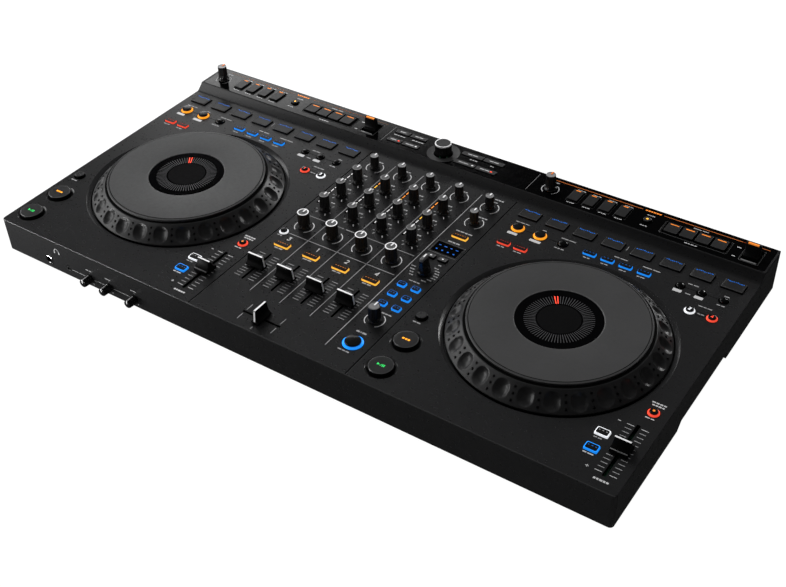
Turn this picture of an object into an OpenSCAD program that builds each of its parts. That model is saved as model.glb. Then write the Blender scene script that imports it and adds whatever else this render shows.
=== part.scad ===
// Four-channel DJ controller with two jog decks, a mixer section and a raised rear control bar.
// Lengths are in millimetres. X runs left to right, Y front to back, Z up, and the feet stand on Z = 0.

/* [Body] */
// Overall width of the case
body_w = 713; // [711:1:720]
// Depth of the case from the front wall to the back wall
body_d = 366; // [366:1:372]
// Height of the front wall
front_h = 38.5; // [38:0.5:46]
// Radius of the vertical corners of the case
corner_r = 4; // [3:0.5:6]
// Wall thickness of the cover and the case
wall = 2.5; // [2:0.1:2.6]
// Height of the rubber feet
foot_h = 5.5; // [4:0.5:8]
// Height of the rear control bar above the deck
riser_h = 8; // [7:0.5:9]

/* [Jog decks] */
// Distance of each jog axis from the middle of the case
deck_x = 225.8; // [225:0.1:227]
// Distance of each jog axis from the front wall
jog_y = 149.6; // [149:0.1:150]
// Outer radius of the jog wheel's rim
jog_r = 104.2; // [102:0.1:104.5]
// Height of the jog wheel's top plate above the deck
jog_h = 17.2; // [16.6:0.1:19]
// Radius of the fixed centre display
display_r = 40.3; // [38:0.1:40.4]
// Number of finger dimples around the rim
dimples = 26; // [20:1:30]

/* [Mixer] */
// Distance between channel strips
channel_pitch = 36.35; // [36:0.05:36.5]
// Travel of a channel fader to each side of its middle
fader_travel = 20; // [15:0.5:20]
// Travel of a tempo slider to each side of its middle
tempo_travel = 30; // [25:0.5:30]

/* [Controls] */
// Gap between a button and its hole in the cover
button_gap = 0.5; // [0.4:0.05:0.6]
// Radius of the control shafts
shaft_r = 3; // [2.5:0.1:3]
// How far the front knobs stand out of the front wall
front_knob_l = 11; // [9:0.5:12]

/* [Hidden] */

$fn = 48;
e = 0.01;
deck_z = foot_h + front_h;
y_mid = (body_d - front_knob_l) / 2;
cover_in = -wall;
floor_z = -front_h;
base_top = floor_z + 2.4;
bar_z = riser_h;
plate_t = 2;
riser_y0 = 313;
riser_y1 = 322;
plate_y1 = 362.5;
board_z = -20;
board_t = 1.6;
bar_board_z = -10;
well_r = jog_r + 1.6;
post_r = 9;

side = [-1, 1];
channel_x = [for (i = [0:3]) -73.5 + i * channel_pitch];

// Rows of knobs: y, height, top radius, base radius
row_trim = [285.9, 16, 4.6, 5.6];
row_high = [253.5, 19, 5.15, 6.75];
row_mid = [223.3, 19, 5.15, 6.75];
row_low = [193.7, 19, 5.15, 6.75];
row_colour = [157.7, 18.5, 6.1, 7];
// Single knobs: x, y, height, top radius, base radius
k_master = [72.7, 285.9, 16, 4.6, 5.6];
k_booth = [72.7, 254.7, 16, 4.6, 5.6];
k_select = [73.5, 158.8, 20, 5.2, 7.6];
k_depth = [72.8, 75, 17.6, 6.1, 7];
k_browse = [-18.7, 340.5];
k_bar = [-110.6, 339.5, 18.5, 5, 6.4];

// Rectangular caps on a deck: offset from the jog axis, y, width, depth
pad_keys = [for (i = [0:7]) [-110.25 + 31.5 * i, 296.5, 21.5, 14]];
deck_keys = concat([for (i = [0:3]) [-29.25 + 19.5 * i, 271, 16, 8.7]],
  [[-110.5, 242, 16.5, 8.7], [-91.5, 242, 16.5, 8.7], [90.3, 58, 14.7, 10], [90.3, 38, 14.7, 10]]);
// Round caps on a deck: offset from the jog axis, y, skirt radius, top radius, height
deck_rounds = [[-110.6, 271, 7.6, 5.5, 3.4], [-85, 271, 7.6, 5.5, 3.4], [-59, 271, 5.5, 4.2, 2.6],
  [66.6, 271.5, 4.5, 3.8, 2.4], [88.2, 271.5, 4.5, 3.8, 2.4], [110.2, 271.5, 4.5, 3.8, 2.4],
  [88.5, 242, 6, 4.3, 2.8], [110.5, 242, 6, 4.3, 2.8], [-118, 102, 6.25, 5.8, 3], [116.3, 101.7, 6, 4.3, 2.8]];
transport_rounds = [[-111.5, 65.5, 12.75, 12.2, 3], [-111.5, 25, 12.75, 12.2, 3]];
// Caps on the mixer: x, y, width, depth
mixer_keys = concat([for (x = channel_x) [x, 121.3, 21, 10]],
  [[72.7, 227, 20.6, 9], [65.2, 184.4, 9.5, 6], [79, 184.4, 9.5, 6]],
  [for (x = [65, 81], y = [99, 115.8, 132.5]) [x, y, 12.5, 9]]);
mixer_rounds = [[73.8, 38.5, 10.3, 7.3, 3.2], [-86.3, 140, 5.3, 3.8, 2.6]];
// Caps on the rear bar: x, y, width, depth
bar_keys_deck = concat([for (i = [0:3]) [-81.5 + 18.07 * i, 341.2, 12, 19.5]],
  [for (i = [0:3]) [27.4 + 16.57 * i, 340, 15.3, 16]]);
bar_rounds = [[-0.6, 341, 4.85, 4.2, 2.4]];
browse_keys = [for (y = [333.5, 351.5]) each [[-79, y, 18, 6.7], [-57.5, y, 21, 6.7], [13, y, 26, 6.7], [39.8, y, 24.6, 6.7]]];
fx_window = [73, 201.8, 32, 19.5];
meter_x = [for (x = channel_x) x - 14.5];

// Case bosses and feet
bosses = [[-320, 14], [-97, 14], [97, 14], [320, 14], [-340, 352], [-115, 352], [115, 352], [340, 352]];
feet = [[-325, 30], [325, 30], [-325, 335], [325, 335], [0, 30], [0, 335]];
standoffs = [[-300, 45], [-150, 30], [-300, 285], [-150, 285], [150, 30], [300, 30], [150, 285], [300, 285], [-55, 30], [55, 30], [-55, 240], [55, 240]];

// Front wall: x and z of the jacks and knobs
front_z = -28.4;
jack_big_x = -292.3;
jack_small_x = -263.5;
front_knobs = [-232.5, -205.5, -170];

// Back wall: x of the sockets and their height
mic_jack_x = [-98, -74];
phono_x = [-40, -24, 4, 20];
data_x = [58, 80, 102];
back_z = -21;

// ---------------------------------------------------------------- helpers

module deck_frame() translate([0, -y_mid, deck_z]) children();

module rrect(w, d, r) {
  square([w - 2 * r, d], center = true);
  square([w, d - 2 * r], center = true);
  for (sx = side, sy = side) translate([sx * (w / 2 - r), sy * (d / 2 - r)]) circle(r, $fn = 32);
}

module slab(x, y, z0, z1, w, d, r) translate([x, y, z0]) linear_extrude(z1 - z0) rrect(w, d, r);
module block(x, y, z0, z1, w, d) translate([x - w / 2, y - d / 2, z0]) cube([w, d, z1 - z0]);
module post(x, y, z0, z1, r) translate([x, y, z0]) cylinder(h = z1 - z0, r = r);
module along_x(x0, x1) translate([x0, 0, 0]) rotate([90, 0, 90]) linear_extrude(x1 - x0) children();
module along_y(y0, y1) translate([0, y1, 0]) rotate([90, 0, 0]) linear_extrude(y1 - y0) children();
module to_front(x, z) translate([x, 0, z]) rotate([90, 0, 0]) children();

module outline(inset = 0) translate([0, body_d / 2]) rrect(body_w - 2 * inset, body_d - 2 * inset, max(corner_r - inset, 1));

// ---------------------------------------------------------------- case

module riser_profile() polygon([[riser_y0, -3], [riser_y0, 0], [riser_y1, bar_z], [body_d - 3.2, bar_z], [body_d, bar_z - 3], [body_d, -3]]);
module riser_hollow() polygon([[riser_y0 + 2, -3 - e], [riser_y1 + 2, bar_z - plate_t - 2.4], [body_d - wall, bar_z - plate_t - 2.4], [body_d - wall, -3 - e]]);
module grip_profile() polygon([[128, floor_z - 1], [136, floor_z + 7.5], [240, floor_z + 7.5], [240, floor_z - 1]]);

module round_holes(list, z0, z1) for (b = list) post(b[0], b[1], z0, z1, b[2] + button_gap);
module key_holes(list, z0, z1) for (b = list) block(b[0], b[1], z0, z1, b[2] + 2 * button_gap, b[3] + 2 * button_gap);

module deck_holes() {
  key_holes(pad_keys, -6, 1);
  key_holes(deck_keys, -6, 1);
  round_holes(deck_rounds, -6, 1);
  round_holes(transport_rounds, -6, 1);
  // shallow moat around the two large transport buttons
  for (b = transport_rounds) translate([b[0], b[1], -1]) cylinder(h = 1 + e, r1 = b[2] + button_gap, r2 = b[2] + 2);
  // tempo slot
  block(112.3, 48.5, -6, 1, 3.2, 66.5);
}

module knob_hole(x, y, z0, z1) post(x, y, z0, z1, shaft_r + 0.8);

module top_cover() color([0.12, 0.12, 0.125]) deck_frame() difference() {
  union() {
    translate([0, 0, floor_z]) linear_extrude(front_h) outline();
    intersection() {
      along_x(-body_w / 2, body_w / 2) riser_profile();
      translate([0, 0, -4]) linear_extrude(bar_z + 8) outline();
    }
  }
  difference() {
    translate([0, 0, floor_z - 1]) linear_extrude(front_h + 1 - wall) outline(wall);
    // jog wells and screw bosses stay inside the hollow
    for (s = side) post(s * deck_x, jog_y, -11.5, 0, well_r + 2.6);
    for (b = bosses) post(b[0], b[1], base_top, 0, 4.5);
    // tabs tie the tops of the rear bosses to the back wall
    for (b = bosses) if (b[1] > riser_y1) block(b[0], (b[1] + body_d) / 2, -9, -5, 9, body_d - b[1]);
  }
  intersection() {
    along_x(-body_w / 2 + wall, body_w / 2 - wall) riser_hollow();
    translate([0, 0, -6]) linear_extrude(20) outline(wall);
  }
  // seat and opening for the rear plate
  slab(0, (riser_y1 + plate_y1) / 2, bar_z - plate_t, bar_z + 1, body_w - 4, plate_y1 - riser_y1, 3);
  block(0, (riser_y1 + plate_y1) / 2, -6, bar_z, body_w - 14, plate_y1 - riser_y1 - 7);
  // jog wells
  for (s = side) translate([s * deck_x, jog_y, 0]) {
    translate([0, 0, -9]) cylinder(h = 10, r = well_r, $fn = 128);
    translate([0, 0, -3]) cylinder(h = 3 + e, r1 = well_r, r2 = well_r + 3.8, $fn = 128);
    translate([0, 0, -12]) cylinder(h = 10, r = 30);
  }
  // screw pilot holes
  for (b = bosses) post(b[0], b[1], base_top - 1, -8, 1.7);
  // decks
  for (s = side) translate([s * deck_x, 0, 0]) deck_holes();
  // mixer
  key_holes(mixer_keys, -6, 1);
  round_holes(mixer_rounds, -6, 1);
  for (x = channel_x) {
    for (r = [row_trim, row_high, row_mid, row_low, row_colour]) knob_hole(x, r[0], -6, 1);
    block(x, 80, -6, 1, 2.4, 2 * fader_travel + 6);
  }
  for (k = [k_master, k_booth, k_select, k_depth]) knob_hole(k[0], k[1], -6, 1);
  block(-18.7, 19.8, -6, 1, 2 * fader_travel + 5, 2.4);
  block(fx_window[0], fx_window[1], -6, 1, fx_window[2], fx_window[3]);
  for (x = meter_x) block(x, 234, -6, 1, 2.6, 70);
  // seams between the mixer and the decks
  for (x = [-94.1, 92]) block(x, 156, -0.8, 1, 0.8, 310);
  // front wall
  to_front(jack_big_x, front_z) translate([0, 0, -5]) cylinder(h = 10, r = 5.6);
  to_front(jack_small_x, front_z) translate([0, 0, -5]) cylinder(h = 10, r = 3.1);
  for (x = front_knobs) to_front(x, front_z) translate([0, 0, -5]) cylinder(h = 10, r = shaft_r + 0.8);
  // hand grips in the lower edges of the side walls
  for (s = side) along_x(s * body_w / 2 - 4, s * body_w / 2 + 4) grip_profile();
  // holes for the sockets in the back wall
  for (x = mic_jack_x) translate([x, body_d + 4, back_z]) rotate([90, 0, 0]) cylinder(h = 12, r = 5.4);
  for (x = phono_x) translate([x, body_d + 4, back_z]) rotate([90, 0, 0]) cylinder(h = 12, r = 4.45);
  for (x = data_x) block(x, body_d, back_z - 2, back_z + 2, 9.8, 8);
}

module rear_control_plate() color([0.03, 0.03, 0.035]) deck_frame() difference() {
  slab(0, (riser_y1 + plate_y1) / 2, bar_z - plate_t, bar_z, body_w - 4.4, plate_y1 - riser_y1 - 0.4, 2.8);
  for (s = side) translate([s * deck_x, 0, 0]) {
    key_holes([for (i = [0:3]) bar_keys_deck[i]], -1, 12);
    block(52.2, 340, -1, 12, 67, 17);
    round_holes(bar_rounds, -1, 12);
    knob_hole(k_bar[0], k_bar[1], -1, 12);
    block(110, 340.5, -1, 12, 17.5, 22);
  }
  key_holes(browse_keys, -1, 12);
  post(k_browse[0], k_browse[1], -1, 12, 12);
}

module bottom_case() color([0.1, 0.1, 0.105]) deck_frame() {
  difference() {
    union() {
      translate([0, 0, floor_z]) linear_extrude(base_top - floor_z) outline(wall + 0.3);
      for (s = side) intersection() {
        along_x(s * (body_w / 2 - 14) - 12, s * (body_w / 2 - 14) + 12) polygon([[124, floor_z + 1], [134.5, floor_z + 9.7], [242.2, floor_z + 9.7], [242.2, floor_z + 1]]);
        translate([0, 0, floor_z]) linear_extrude(20) outline(wall + 0.3);
      }
      for (p = standoffs) post(p[0], p[1], base_top - e, board_z, 4);
      for (x = [-300, -180, -60, 60, 180, 300]) block(x, 326, base_top - e, bar_board_z, 6, 4);
    }
    for (s = side) along_x(s * (body_w / 2 - 10) - 14, s * (body_w / 2 - 10) + 14) grip_profile();
    for (b = bosses) post(b[0], b[1], floor_z - 1, base_top + 1, 2.1);
    for (b = bosses) post(b[0], b[1], floor_z - 1, floor_z + 1.2, 4);
    for (f = feet) post(f[0], f[1], floor_z - 1, floor_z + 1, 13.2);
  }
}

module rubber_feet() color([0.06, 0.06, 0.06]) deck_frame() for (f = feet) {
  translate([f[0], f[1], floor_z - foot_h]) cylinder(h = foot_h, r1 = 11.5, r2 = 13);
  post(f[0], f[1], floor_z - e, floor_z + 1, 13);
}

module case_screws() color([0.45, 0.45, 0.47]) deck_frame() for (b = bosses) difference() {
  union() {
    post(b[0], b[1], floor_z + 0.1, floor_z + 1.2, 3.4);
    post(b[0], b[1], floor_z + 1, floor_z + 14, 1.5);
  }
  block(b[0], b[1], floor_z - 1, floor_z + 0.7, 4.4, 0.9);
  block(b[0], b[1], floor_z - 1, floor_z + 0.7, 0.9, 4.4);
}

// ---------------------------------------------------------------- inside

module pot(x, y, zb, zt) difference() {
  union() {
    block(x, y, zb, zt - 3, 9.6, 10.6);
    post(x, y, zt - 3 - e, zt, shaft_r + 1.6);
  }
  post(x, y, zt - 7, zt + 1, shaft_r + 0.6);
}

module circuit_boards() color([0.07, 0.2, 0.12]) deck_frame() {
  bt = board_z + board_t;
  for (s = side) {
    difference() {
      block(s * deck_x, 162, board_z, bt, 246, 284);
      post(s * deck_x, jog_y, board_z - 1, bt + 1, 34);
    }
    // tempo slider track and its carrier slot
    difference() {
      block(s * deck_x + 112.3, 48.5, bt - e, bt + 6, 9, 73);
      block(s * deck_x + 112.3, 48.5, bt + 1, bt + 8, 4.6, 68);
    }
  }
  block(-1, 158, board_z, bt, 182, 292);
  for (x = channel_x) {
    for (r = [row_trim, row_high, row_mid, row_low, row_colour]) pot(x, r[0], bt - e, -5);
    difference() {
      block(x, 80, bt - e, bt + 6, 9, 60);
      block(x, 80, bt + 1, bt + 8, 4.6, 50);
    }
  }
  for (k = [k_master, k_booth, k_select, k_depth]) pot(k[0], k[1], bt - e, -5);
  difference() {
    block(-18.7, 19.8, bt - e, bt + 6, 60, 9);
    block(-18.7, 19.8, bt + 1, bt + 8, 50, 4.6);
  }
  // rear bar
  zb = bar_board_z + board_t;
  block(0, 335.5, bar_board_z, zb, 690, 21);
  for (s = side) pot(s * deck_x + k_bar[0], k_bar[1], zb - e, 2);
  pot(k_browse[0], k_browse[1], zb - e, 2);
  for (s = side) for (dx = side) difference() {
    block(s * deck_x + 110 + dx * 10.9, 340.5, zb - e, 4.4, 2, 8);
    translate([s * deck_x + 110 + dx * 10.9 - 3, 340.5, 2]) rotate([0, 90, 0]) cylinder(h = 6, r = 1.6);
  }
  // headphone and microphone board behind the front wall
  difference() {
    block(-202, 13, front_z - 7, front_z + 7, 84, 1.6);
    for (x = front_knobs) to_front(x, front_z) translate([0, 0, -20]) cylinder(h = 20, r = shaft_r + 0.6);
  }
  for (x = front_knobs) difference() {
    block(x, 9.6, front_z - 4.8, front_z + 4.8, 9.6, 5.4);
    to_front(x, front_z) translate([0, 0, -20]) cylinder(h = 20, r = shaft_r + 0.6);
  }
}

module jog_hubs() color([0.02, 0.02, 0.025]) deck_frame() for (s = side) translate([s * deck_x, jog_y, 0]) {
  rotate_extrude($fn = 128) polygon([[0, base_top], [26, base_top], [26, base_top + 3], [post_r, base_top + 3], [post_r, 10], [display_r - 1.5, 10],
    [display_r, 11.5], [display_r, jog_h - 1.1], [display_r - 0.5, jog_h - 0.6], [0, jog_h - 0.6]]);
}

module indicator_windows() color([0.05, 0.05, 0.06]) deck_frame() {
  difference() {
    block(fx_window[0], fx_window[1], -3.5, 0.5, fx_window[2] - 0.3, fx_window[3] - 0.3);
    block(fx_window[0], fx_window[1], 0, 1, fx_window[2] - 2.6, fx_window[3] - 2.6);
  }
  for (x = meter_x) block(x, 234, -2.6, 0.15, 2.4, 69.8);
}

// ---------------------------------------------------------------- sockets

module tube(r0, r1, l) difference() {
  cylinder(h = l, r = r1);
  translate([0, 0, -1]) cylinder(h = l + 2, r = r0);
}

module sockets() color([0.6, 0.6, 0.62]) deck_frame() {
  // front headphone jacks
  to_front(jack_big_x, front_z) translate([0, 0, -27]) difference() {
    union() { cylinder(h = 27.8, r = 5.2); translate([-7, -7, 0]) cube([14, 14, 23]); }
    translate([0, 0, 4]) cylinder(h = 30, r = 3.25);
  }
  to_front(jack_small_x, front_z) translate([0, 0, -20]) difference() {
    union() { cylinder(h = 20.4, r = 2.8); translate([-4.5, -4.5, 0]) cube([9, 9, 16]); }
    translate([0, 0, 3]) cylinder(h = 30, r = 1.85);
  }
  // back panel: two microphone jacks, two pairs of phono sockets, two data sockets and a power socket
  translate([0, body_d - 4.2, 0]) {
    difference() {
      block(0, -1, back_z - 11.8, back_z + 11.8, 239.4, 2);
      for (x = mic_jack_x) translate([x, 4, back_z]) rotate([90, 0, 0]) cylinder(h = 12, r = 5);
      for (x = phono_x) translate([x, 4, back_z]) rotate([90, 0, 0]) cylinder(h = 12, r = 4);
      for (x = data_x) block(x, 0, back_z - 1.8, back_z + 1.8, 9.4, 12);
    }
    for (x = mic_jack_x) translate([x, 3.6, back_z]) rotate([90, 0, 0]) difference() {
      union() { cylinder(h = 26, r = 4.9); translate([-7, -7, 7]) cube([14, 14, 19]); }
      translate([0, 0, -1]) cylinder(h = 23, r = 3.25);
    }
    for (x = phono_x) translate([x, 4, back_z]) rotate([90, 0, 0]) difference() {
      union() { cylinder(h = 14, r = 3.95); translate([-6, -6, 7]) cube([12, 12, 8]); }
      translate([0, 0, -1]) cylinder(h = 11, r = 1.65);
    }
    for (x = data_x) difference() {
      block(x, -4.6, back_z - 1.6, back_z + 1.6, 9.2, 14.4);
      block(x, -1.8, back_z - 1.1, back_z + 1.1, 8.3, 12);
    }
  }
}

// ---------------------------------------------------------------- jog wheels

// Stadium-shaped finger dimple sunk into the cone of the rim
module dimple() translate([102.9, 0, 13.1]) rotate([0, -46.4, 0]) {
  cylinder(h = 4, r = 11.6, center = true);
  for (k = side) translate([0, 0, k * 2]) sphere(r = 11.6);
}

module jog_ring(s) color([0.1, 0.1, 0.105]) deck_frame() translate([s * deck_x, jog_y, 0]) difference() {
  rotate_extrude($fn = 128) polygon([[post_r + 0.6, -6], [99.5, -6], [jog_r - 0.4, -2.6], [jog_r, -1.8], [jog_r - 0.4, -1], [88.8, jog_h - 3.9], [87.6, jog_h - 3.2],
    [83.6, jog_h - 3.2], [83.6, jog_h - 5.6], [86.6, jog_h - 6.2], [98.6, -2.4], [98.6, -3.6], [14, -3.6], [14, 5], [post_r + 0.6, 5]]);
  for (i = [0:dimples - 1]) rotate(i * 360 / dimples + 4) dimple();
}

module jog_plate(s) color([0.2, 0.2, 0.205]) deck_frame() translate([s * deck_x, jog_y, 0])
  rotate_extrude($fn = 128) polygon([[display_r + 0.6, jog_h - 2.2], [display_r + 0.6, jog_h - 0.4], [display_r + 1, jog_h], [84.6, jog_h], [85, jog_h - 0.4], [85, jog_h - 2.4],
    [84.2, jog_h - 3.2], [80, jog_h - 3.2], [80, jog_h - 2.2]]);

// ---------------------------------------------------------------- faders

// A blade cap: wide along X, pinched towards its ridge, with a stem through the slot.
module blade(w0, w1, d0, d1, h, stem) {
  intersection() {
    along_x(-w0, w0) polygon([[-d0 / 2, 1], [-d0 / 2, 2.4], [-d1 / 2 - 0.6, 5], [-d1 / 2, h], [d1 / 2, h], [d1 / 2 + 0.6, 5], [d0 / 2, 2.4], [d0 / 2, 1]]);
    along_y(-d0, d0) polygon([[-w0 / 2, 1], [-w0 / 2, 3], [-w1 / 2, h], [w1 / 2, h], [w0 / 2, 3], [w0 / 2, 1]]);
  }
  block(0, 0, -15, 1 + e, 1.2, stem);
}

module channel_fader(i) color([0.08, 0.08, 0.08]) deck_frame() translate([channel_x[i - 1], 80, 0]) blade(21, 18.3, 9.6, 2.6, 14.3, 4.8);

module crossfader() color([0.08, 0.08, 0.08]) deck_frame() translate([-18.7, 19.8, 0]) rotate(90) blade(20, 17, 9.6, 2.6, 15.5, 4);

module tempo_slider(s) color([0.08, 0.08, 0.08]) deck_frame() translate([s * deck_x + 112.3, 48.5, 0]) {
  intersection() {
    along_x(-9, 9) polygon([[-8, 1], [-8, 4], [-5, 5.6], [-2.4, 9], [-1.6, 13], [1.6, 13], [2.4, 9], [5, 5.6], [8, 4], [8, 1]]);
    along_y(-9, 9) polygon([[-8.4, 1], [-8.4, 4], [-7.3, 13], [7.3, 13], [8.4, 4], [8.4, 1]]);
  }
  block(0, 0, -15, 1 + e, 1.8, 5);
}

// ---------------------------------------------------------------- knobs

// A tapered cap with a flared foot, a pointer groove and the shaft that turns in the control below.
module knob(h, rt, rb, zb = 0, depth = 9) translate([0, 0, zb]) {
  difference() {
    rotate_extrude() polygon([[0, 1], [rb, 1], [rb, 2.2], [rb - 0.7, 3.4], [rt + 0.3, 5], [rt, h - 0.5], [rt - 0.5, h], [0, h]]);
    translate([-0.4, rt - 2.4, h - 0.3]) cube([0.8, 4, 2]);
  }
  post(0, 0, -depth, 1 + e, shaft_r);
}

module row_knob(i, row, c = [0.07, 0.07, 0.07]) color(c) deck_frame() translate([channel_x[i - 1], row[0], 0]) knob(row[1], row[2], row[3]);
module trim_knob(i) row_knob(i, row_trim);
module high_knob(i) row_knob(i, row_high);
module mid_knob(i) row_knob(i, row_mid);
module low_knob(i) row_knob(i, row_low);
module colour_knob(i) row_knob(i, row_colour, [0.1, 0.1, 0.1]);
module single_knob(k) color([0.07, 0.07, 0.07]) deck_frame() translate([k[0], k[1], 0]) knob(k[2], k[3], k[4]);
module master_knob() single_knob(k_master);
module booth_knob() single_knob(k_booth);
module fx_depth_knob() single_knob(k_depth);

module fx_select_knob() color([0.07, 0.07, 0.07]) deck_frame() translate([k_select[0], k_select[1], 0]) {
  rotate_extrude() polygon([[0, 1], [7.6, 1], [7.6, 3], [6.6, 4.4], [0, 5]]);
  intersection() {
    post(0, 0, 4, k_select[2], 6.4);
    along_y(-7, 7) polygon([[-3.6, 4], [-1.7, k_select[2]], [1.7, k_select[2]], [3.6, 4]]);
  }
  post(0, 0, -9, 1 + e, shaft_r);
}

module browse_knob() color([0.1, 0.1, 0.1]) deck_frame() translate([k_browse[0], k_browse[1], bar_z]) difference() {
  rotate_extrude() polygon([[0, -8], [shaft_r, -8], [shaft_r, 0.6], [10.4, 0.6], [10.4, 1.8], [10, 2.2], [10, 11.8], [9, 13], [7.6, 13], [7.2, 12.4], [0, 12.4]]);
  for (a = [0:30:330]) rotate(a) translate([10.4, 0, 3]) cylinder(h = 7.5, r = 0.7, $fn = 16);
}

module bar_knob(s) color([0.08, 0.08, 0.08]) deck_frame() translate([s * deck_x + k_bar[0], k_bar[1], 0]) knob(k_bar[2], k_bar[3], k_bar[4], bar_z, 8);

module front_knob(i) color([0.07, 0.07, 0.07]) deck_frame() to_front(front_knobs[i - 1], front_z) {
  difference() {
    rotate_extrude() polygon([[0, 0.9], [5, 0.9], [5, 2], [4.6, 2.8], [4.4, front_knob_l - 1], [3.6, front_knob_l], [0, front_knob_l]]);
    translate([-0.4, 2.6, front_knob_l - 0.4]) cube([0.8, 4, 2]);
  }
  translate([0, 0, -9]) cylinder(h = 10, r = shaft_r);
}

module bar_lever(s) color([0.1, 0.1, 0.1]) deck_frame() translate([s * deck_x + 110, 340.5, 0]) {
  along_x(-7.75, 7.75) polygon([[-3, 0], [-4.6, 5], [-5, 9.6], [-2.8, 10.2], [-2.2, 12], [-1.6, 23], [1.6, 23], [2.6, 12], [4.4, 5], [3, 0]]);
  translate([-11.6, 0, 2]) rotate([0, 90, 0]) cylinder(h = 23.2, r = 1);
}

// ---------------------------------------------------------------- buttons

// Rectangular cap: a chamfered top that stands h above the surface z, a stem and a retaining flange below the panel.
module key(b, z, h, stem = 3.6) {
  slab(b[0], b[1], z - stem, z + h - 0.6, b[2], b[3], 0.8);
  slab(b[0], b[1], z + h - 0.6 - e, z + h, b[2] - 0.9, b[3] - 0.9, 0.6);
  slab(b[0], b[1], z - stem - 1, z - stem + e, b[2] + 2, b[3] + 2, 0.8);
}

module round_button(b, z, stem = 3.6) translate([b[0], b[1], z])
  rotate_extrude() polygon([[0, -stem - 1], [b[2] + 1.2, -stem - 1], [b[2] + 1.2, -stem], [b[2], -stem], [b[2], b[4] * 0.45], [b[3] + 0.3, b[4] - 0.4], [b[3] - 0.3, b[4]], [0, b[4]]]);

module pads(s) color([0.1, 0.1, 0.1]) deck_frame() translate([s * deck_x, 0, 0]) for (b = pad_keys) key(b, 0, 2);
module transport_buttons(s) color([0.12, 0.12, 0.12]) deck_frame() translate([s * deck_x, 0, 0]) for (b = transport_rounds) round_button(b, 0);

module deck_buttons(s) color([0.1, 0.1, 0.1]) deck_frame() translate([s * deck_x, 0, 0]) {
  for (b = deck_keys) key(b, 0, 2);
  for (b = deck_rounds) round_button(b, 0);
}

module mixer_buttons() color([0.1, 0.1, 0.1]) deck_frame() {
  for (b = mixer_keys) key(b, 0, 2);
  for (b = mixer_rounds) round_button(b, 0);
}

module bar_buttons() color([0.1, 0.1, 0.1]) deck_frame() {
  for (s = side) translate([s * deck_x, 0, 0]) {
    for (b = bar_keys_deck) key([b[0], b[1], b[2] - 0.2, b[3]], bar_z, 1.8, 3.2);
    for (b = bar_rounds) round_button(b, bar_z, 3.2);
  }
  for (b = browse_keys) slab(b[0], b[1], bar_z - 4, bar_z + 1, b[2], b[3], 0.8);
}

// ---------------------------------------------------------------- assembly

top_cover();
rear_control_plate();
bottom_case();
rubber_feet();
case_screws();
circuit_boards();
jog_hubs();
indicator_windows();
sockets();
jog_ring(-1);  // jog_ring_left
jog_plate(-1);  // jog_plate_left
jog_ring(1);  // jog_ring_right
jog_plate(1);  // jog_plate_right
channel_fader(1);  // channel_fader_1
channel_fader(2);  // channel_fader_2
channel_fader(3);  // channel_fader_3
channel_fader(4);  // channel_fader_4
crossfader();
tempo_slider(-1);  // tempo_slider_left
tempo_slider(1);  // tempo_slider_right
trim_knob(1);  // trim_knob_1
trim_knob(2);  // trim_knob_2
trim_knob(3);  // trim_knob_3
trim_knob(4);  // trim_knob_4
high_knob(1);  // high_knob_1
high_knob(2);  // high_knob_2
high_knob(3);  // high_knob_3
high_knob(4);  // high_knob_4
mid_knob(1);  // mid_knob_1
mid_knob(2);  // mid_knob_2
mid_knob(3);  // mid_knob_3
mid_knob(4);  // mid_knob_4
low_knob(1);  // low_knob_1
low_knob(2);  // low_knob_2
low_knob(3);  // low_knob_3
low_knob(4);  // low_knob_4
colour_knob(1);  // colour_knob_1
colour_knob(2);  // colour_knob_2
colour_knob(3);  // colour_knob_3
colour_knob(4);  // colour_knob_4
master_knob();
booth_knob();
fx_select_knob();
fx_depth_knob();
browse_knob();
bar_knob(-1);  // bar_knob_left
bar_knob(1);  // bar_knob_right
front_knob(1);  // front_knob_1
front_knob(2);  // front_knob_2
front_knob(3);  // front_knob_3
bar_lever(-1);  // bar_lever_left
bar_lever(1);  // bar_lever_right
pads(-1);  // pads_left
pads(1);  // pads_right
transport_buttons(-1);  // transport_buttons_left
transport_buttons(1);  // transport_buttons_right
deck_buttons(-1);  // deck_buttons_left
deck_buttons(1);  // deck_buttons_right
mixer_buttons();
bar_buttons();
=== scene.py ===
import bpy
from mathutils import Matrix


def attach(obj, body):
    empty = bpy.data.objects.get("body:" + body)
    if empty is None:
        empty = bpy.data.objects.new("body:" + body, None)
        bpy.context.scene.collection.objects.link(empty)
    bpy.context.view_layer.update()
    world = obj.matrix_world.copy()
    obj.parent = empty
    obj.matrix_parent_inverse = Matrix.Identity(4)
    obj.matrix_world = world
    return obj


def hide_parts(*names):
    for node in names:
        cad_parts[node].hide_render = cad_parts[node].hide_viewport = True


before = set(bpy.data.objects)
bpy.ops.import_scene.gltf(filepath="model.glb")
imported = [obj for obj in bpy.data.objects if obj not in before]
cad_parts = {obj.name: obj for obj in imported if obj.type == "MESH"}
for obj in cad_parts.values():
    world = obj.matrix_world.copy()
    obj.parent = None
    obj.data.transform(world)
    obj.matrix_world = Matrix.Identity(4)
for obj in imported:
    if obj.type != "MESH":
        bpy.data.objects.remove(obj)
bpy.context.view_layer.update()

import math
import random

import bmesh
import bpy
from mathutils import Matrix, Vector

random.seed(7)
PI = math.pi

# ------------------------------------------------------------------ frame
# All shapes below are in deck coordinates, in mm: X from the middle, Y from the front wall, Z from the deck.
Y_MID, DECK_Z = 177.5, 44.0
BODY_W, BODY_D, FRONT_H, BAR_Z = 713.0, 366.0, 38.5, 8.0
DX, JY = 225.8, 149.6
CH = [-73.5 + 36.35 * i for i in range(4)]


def W(x, y, z):
    return (x * 0.001, (y - Y_MID) * 0.001, (z + DECK_Z) * 0.001)


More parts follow.
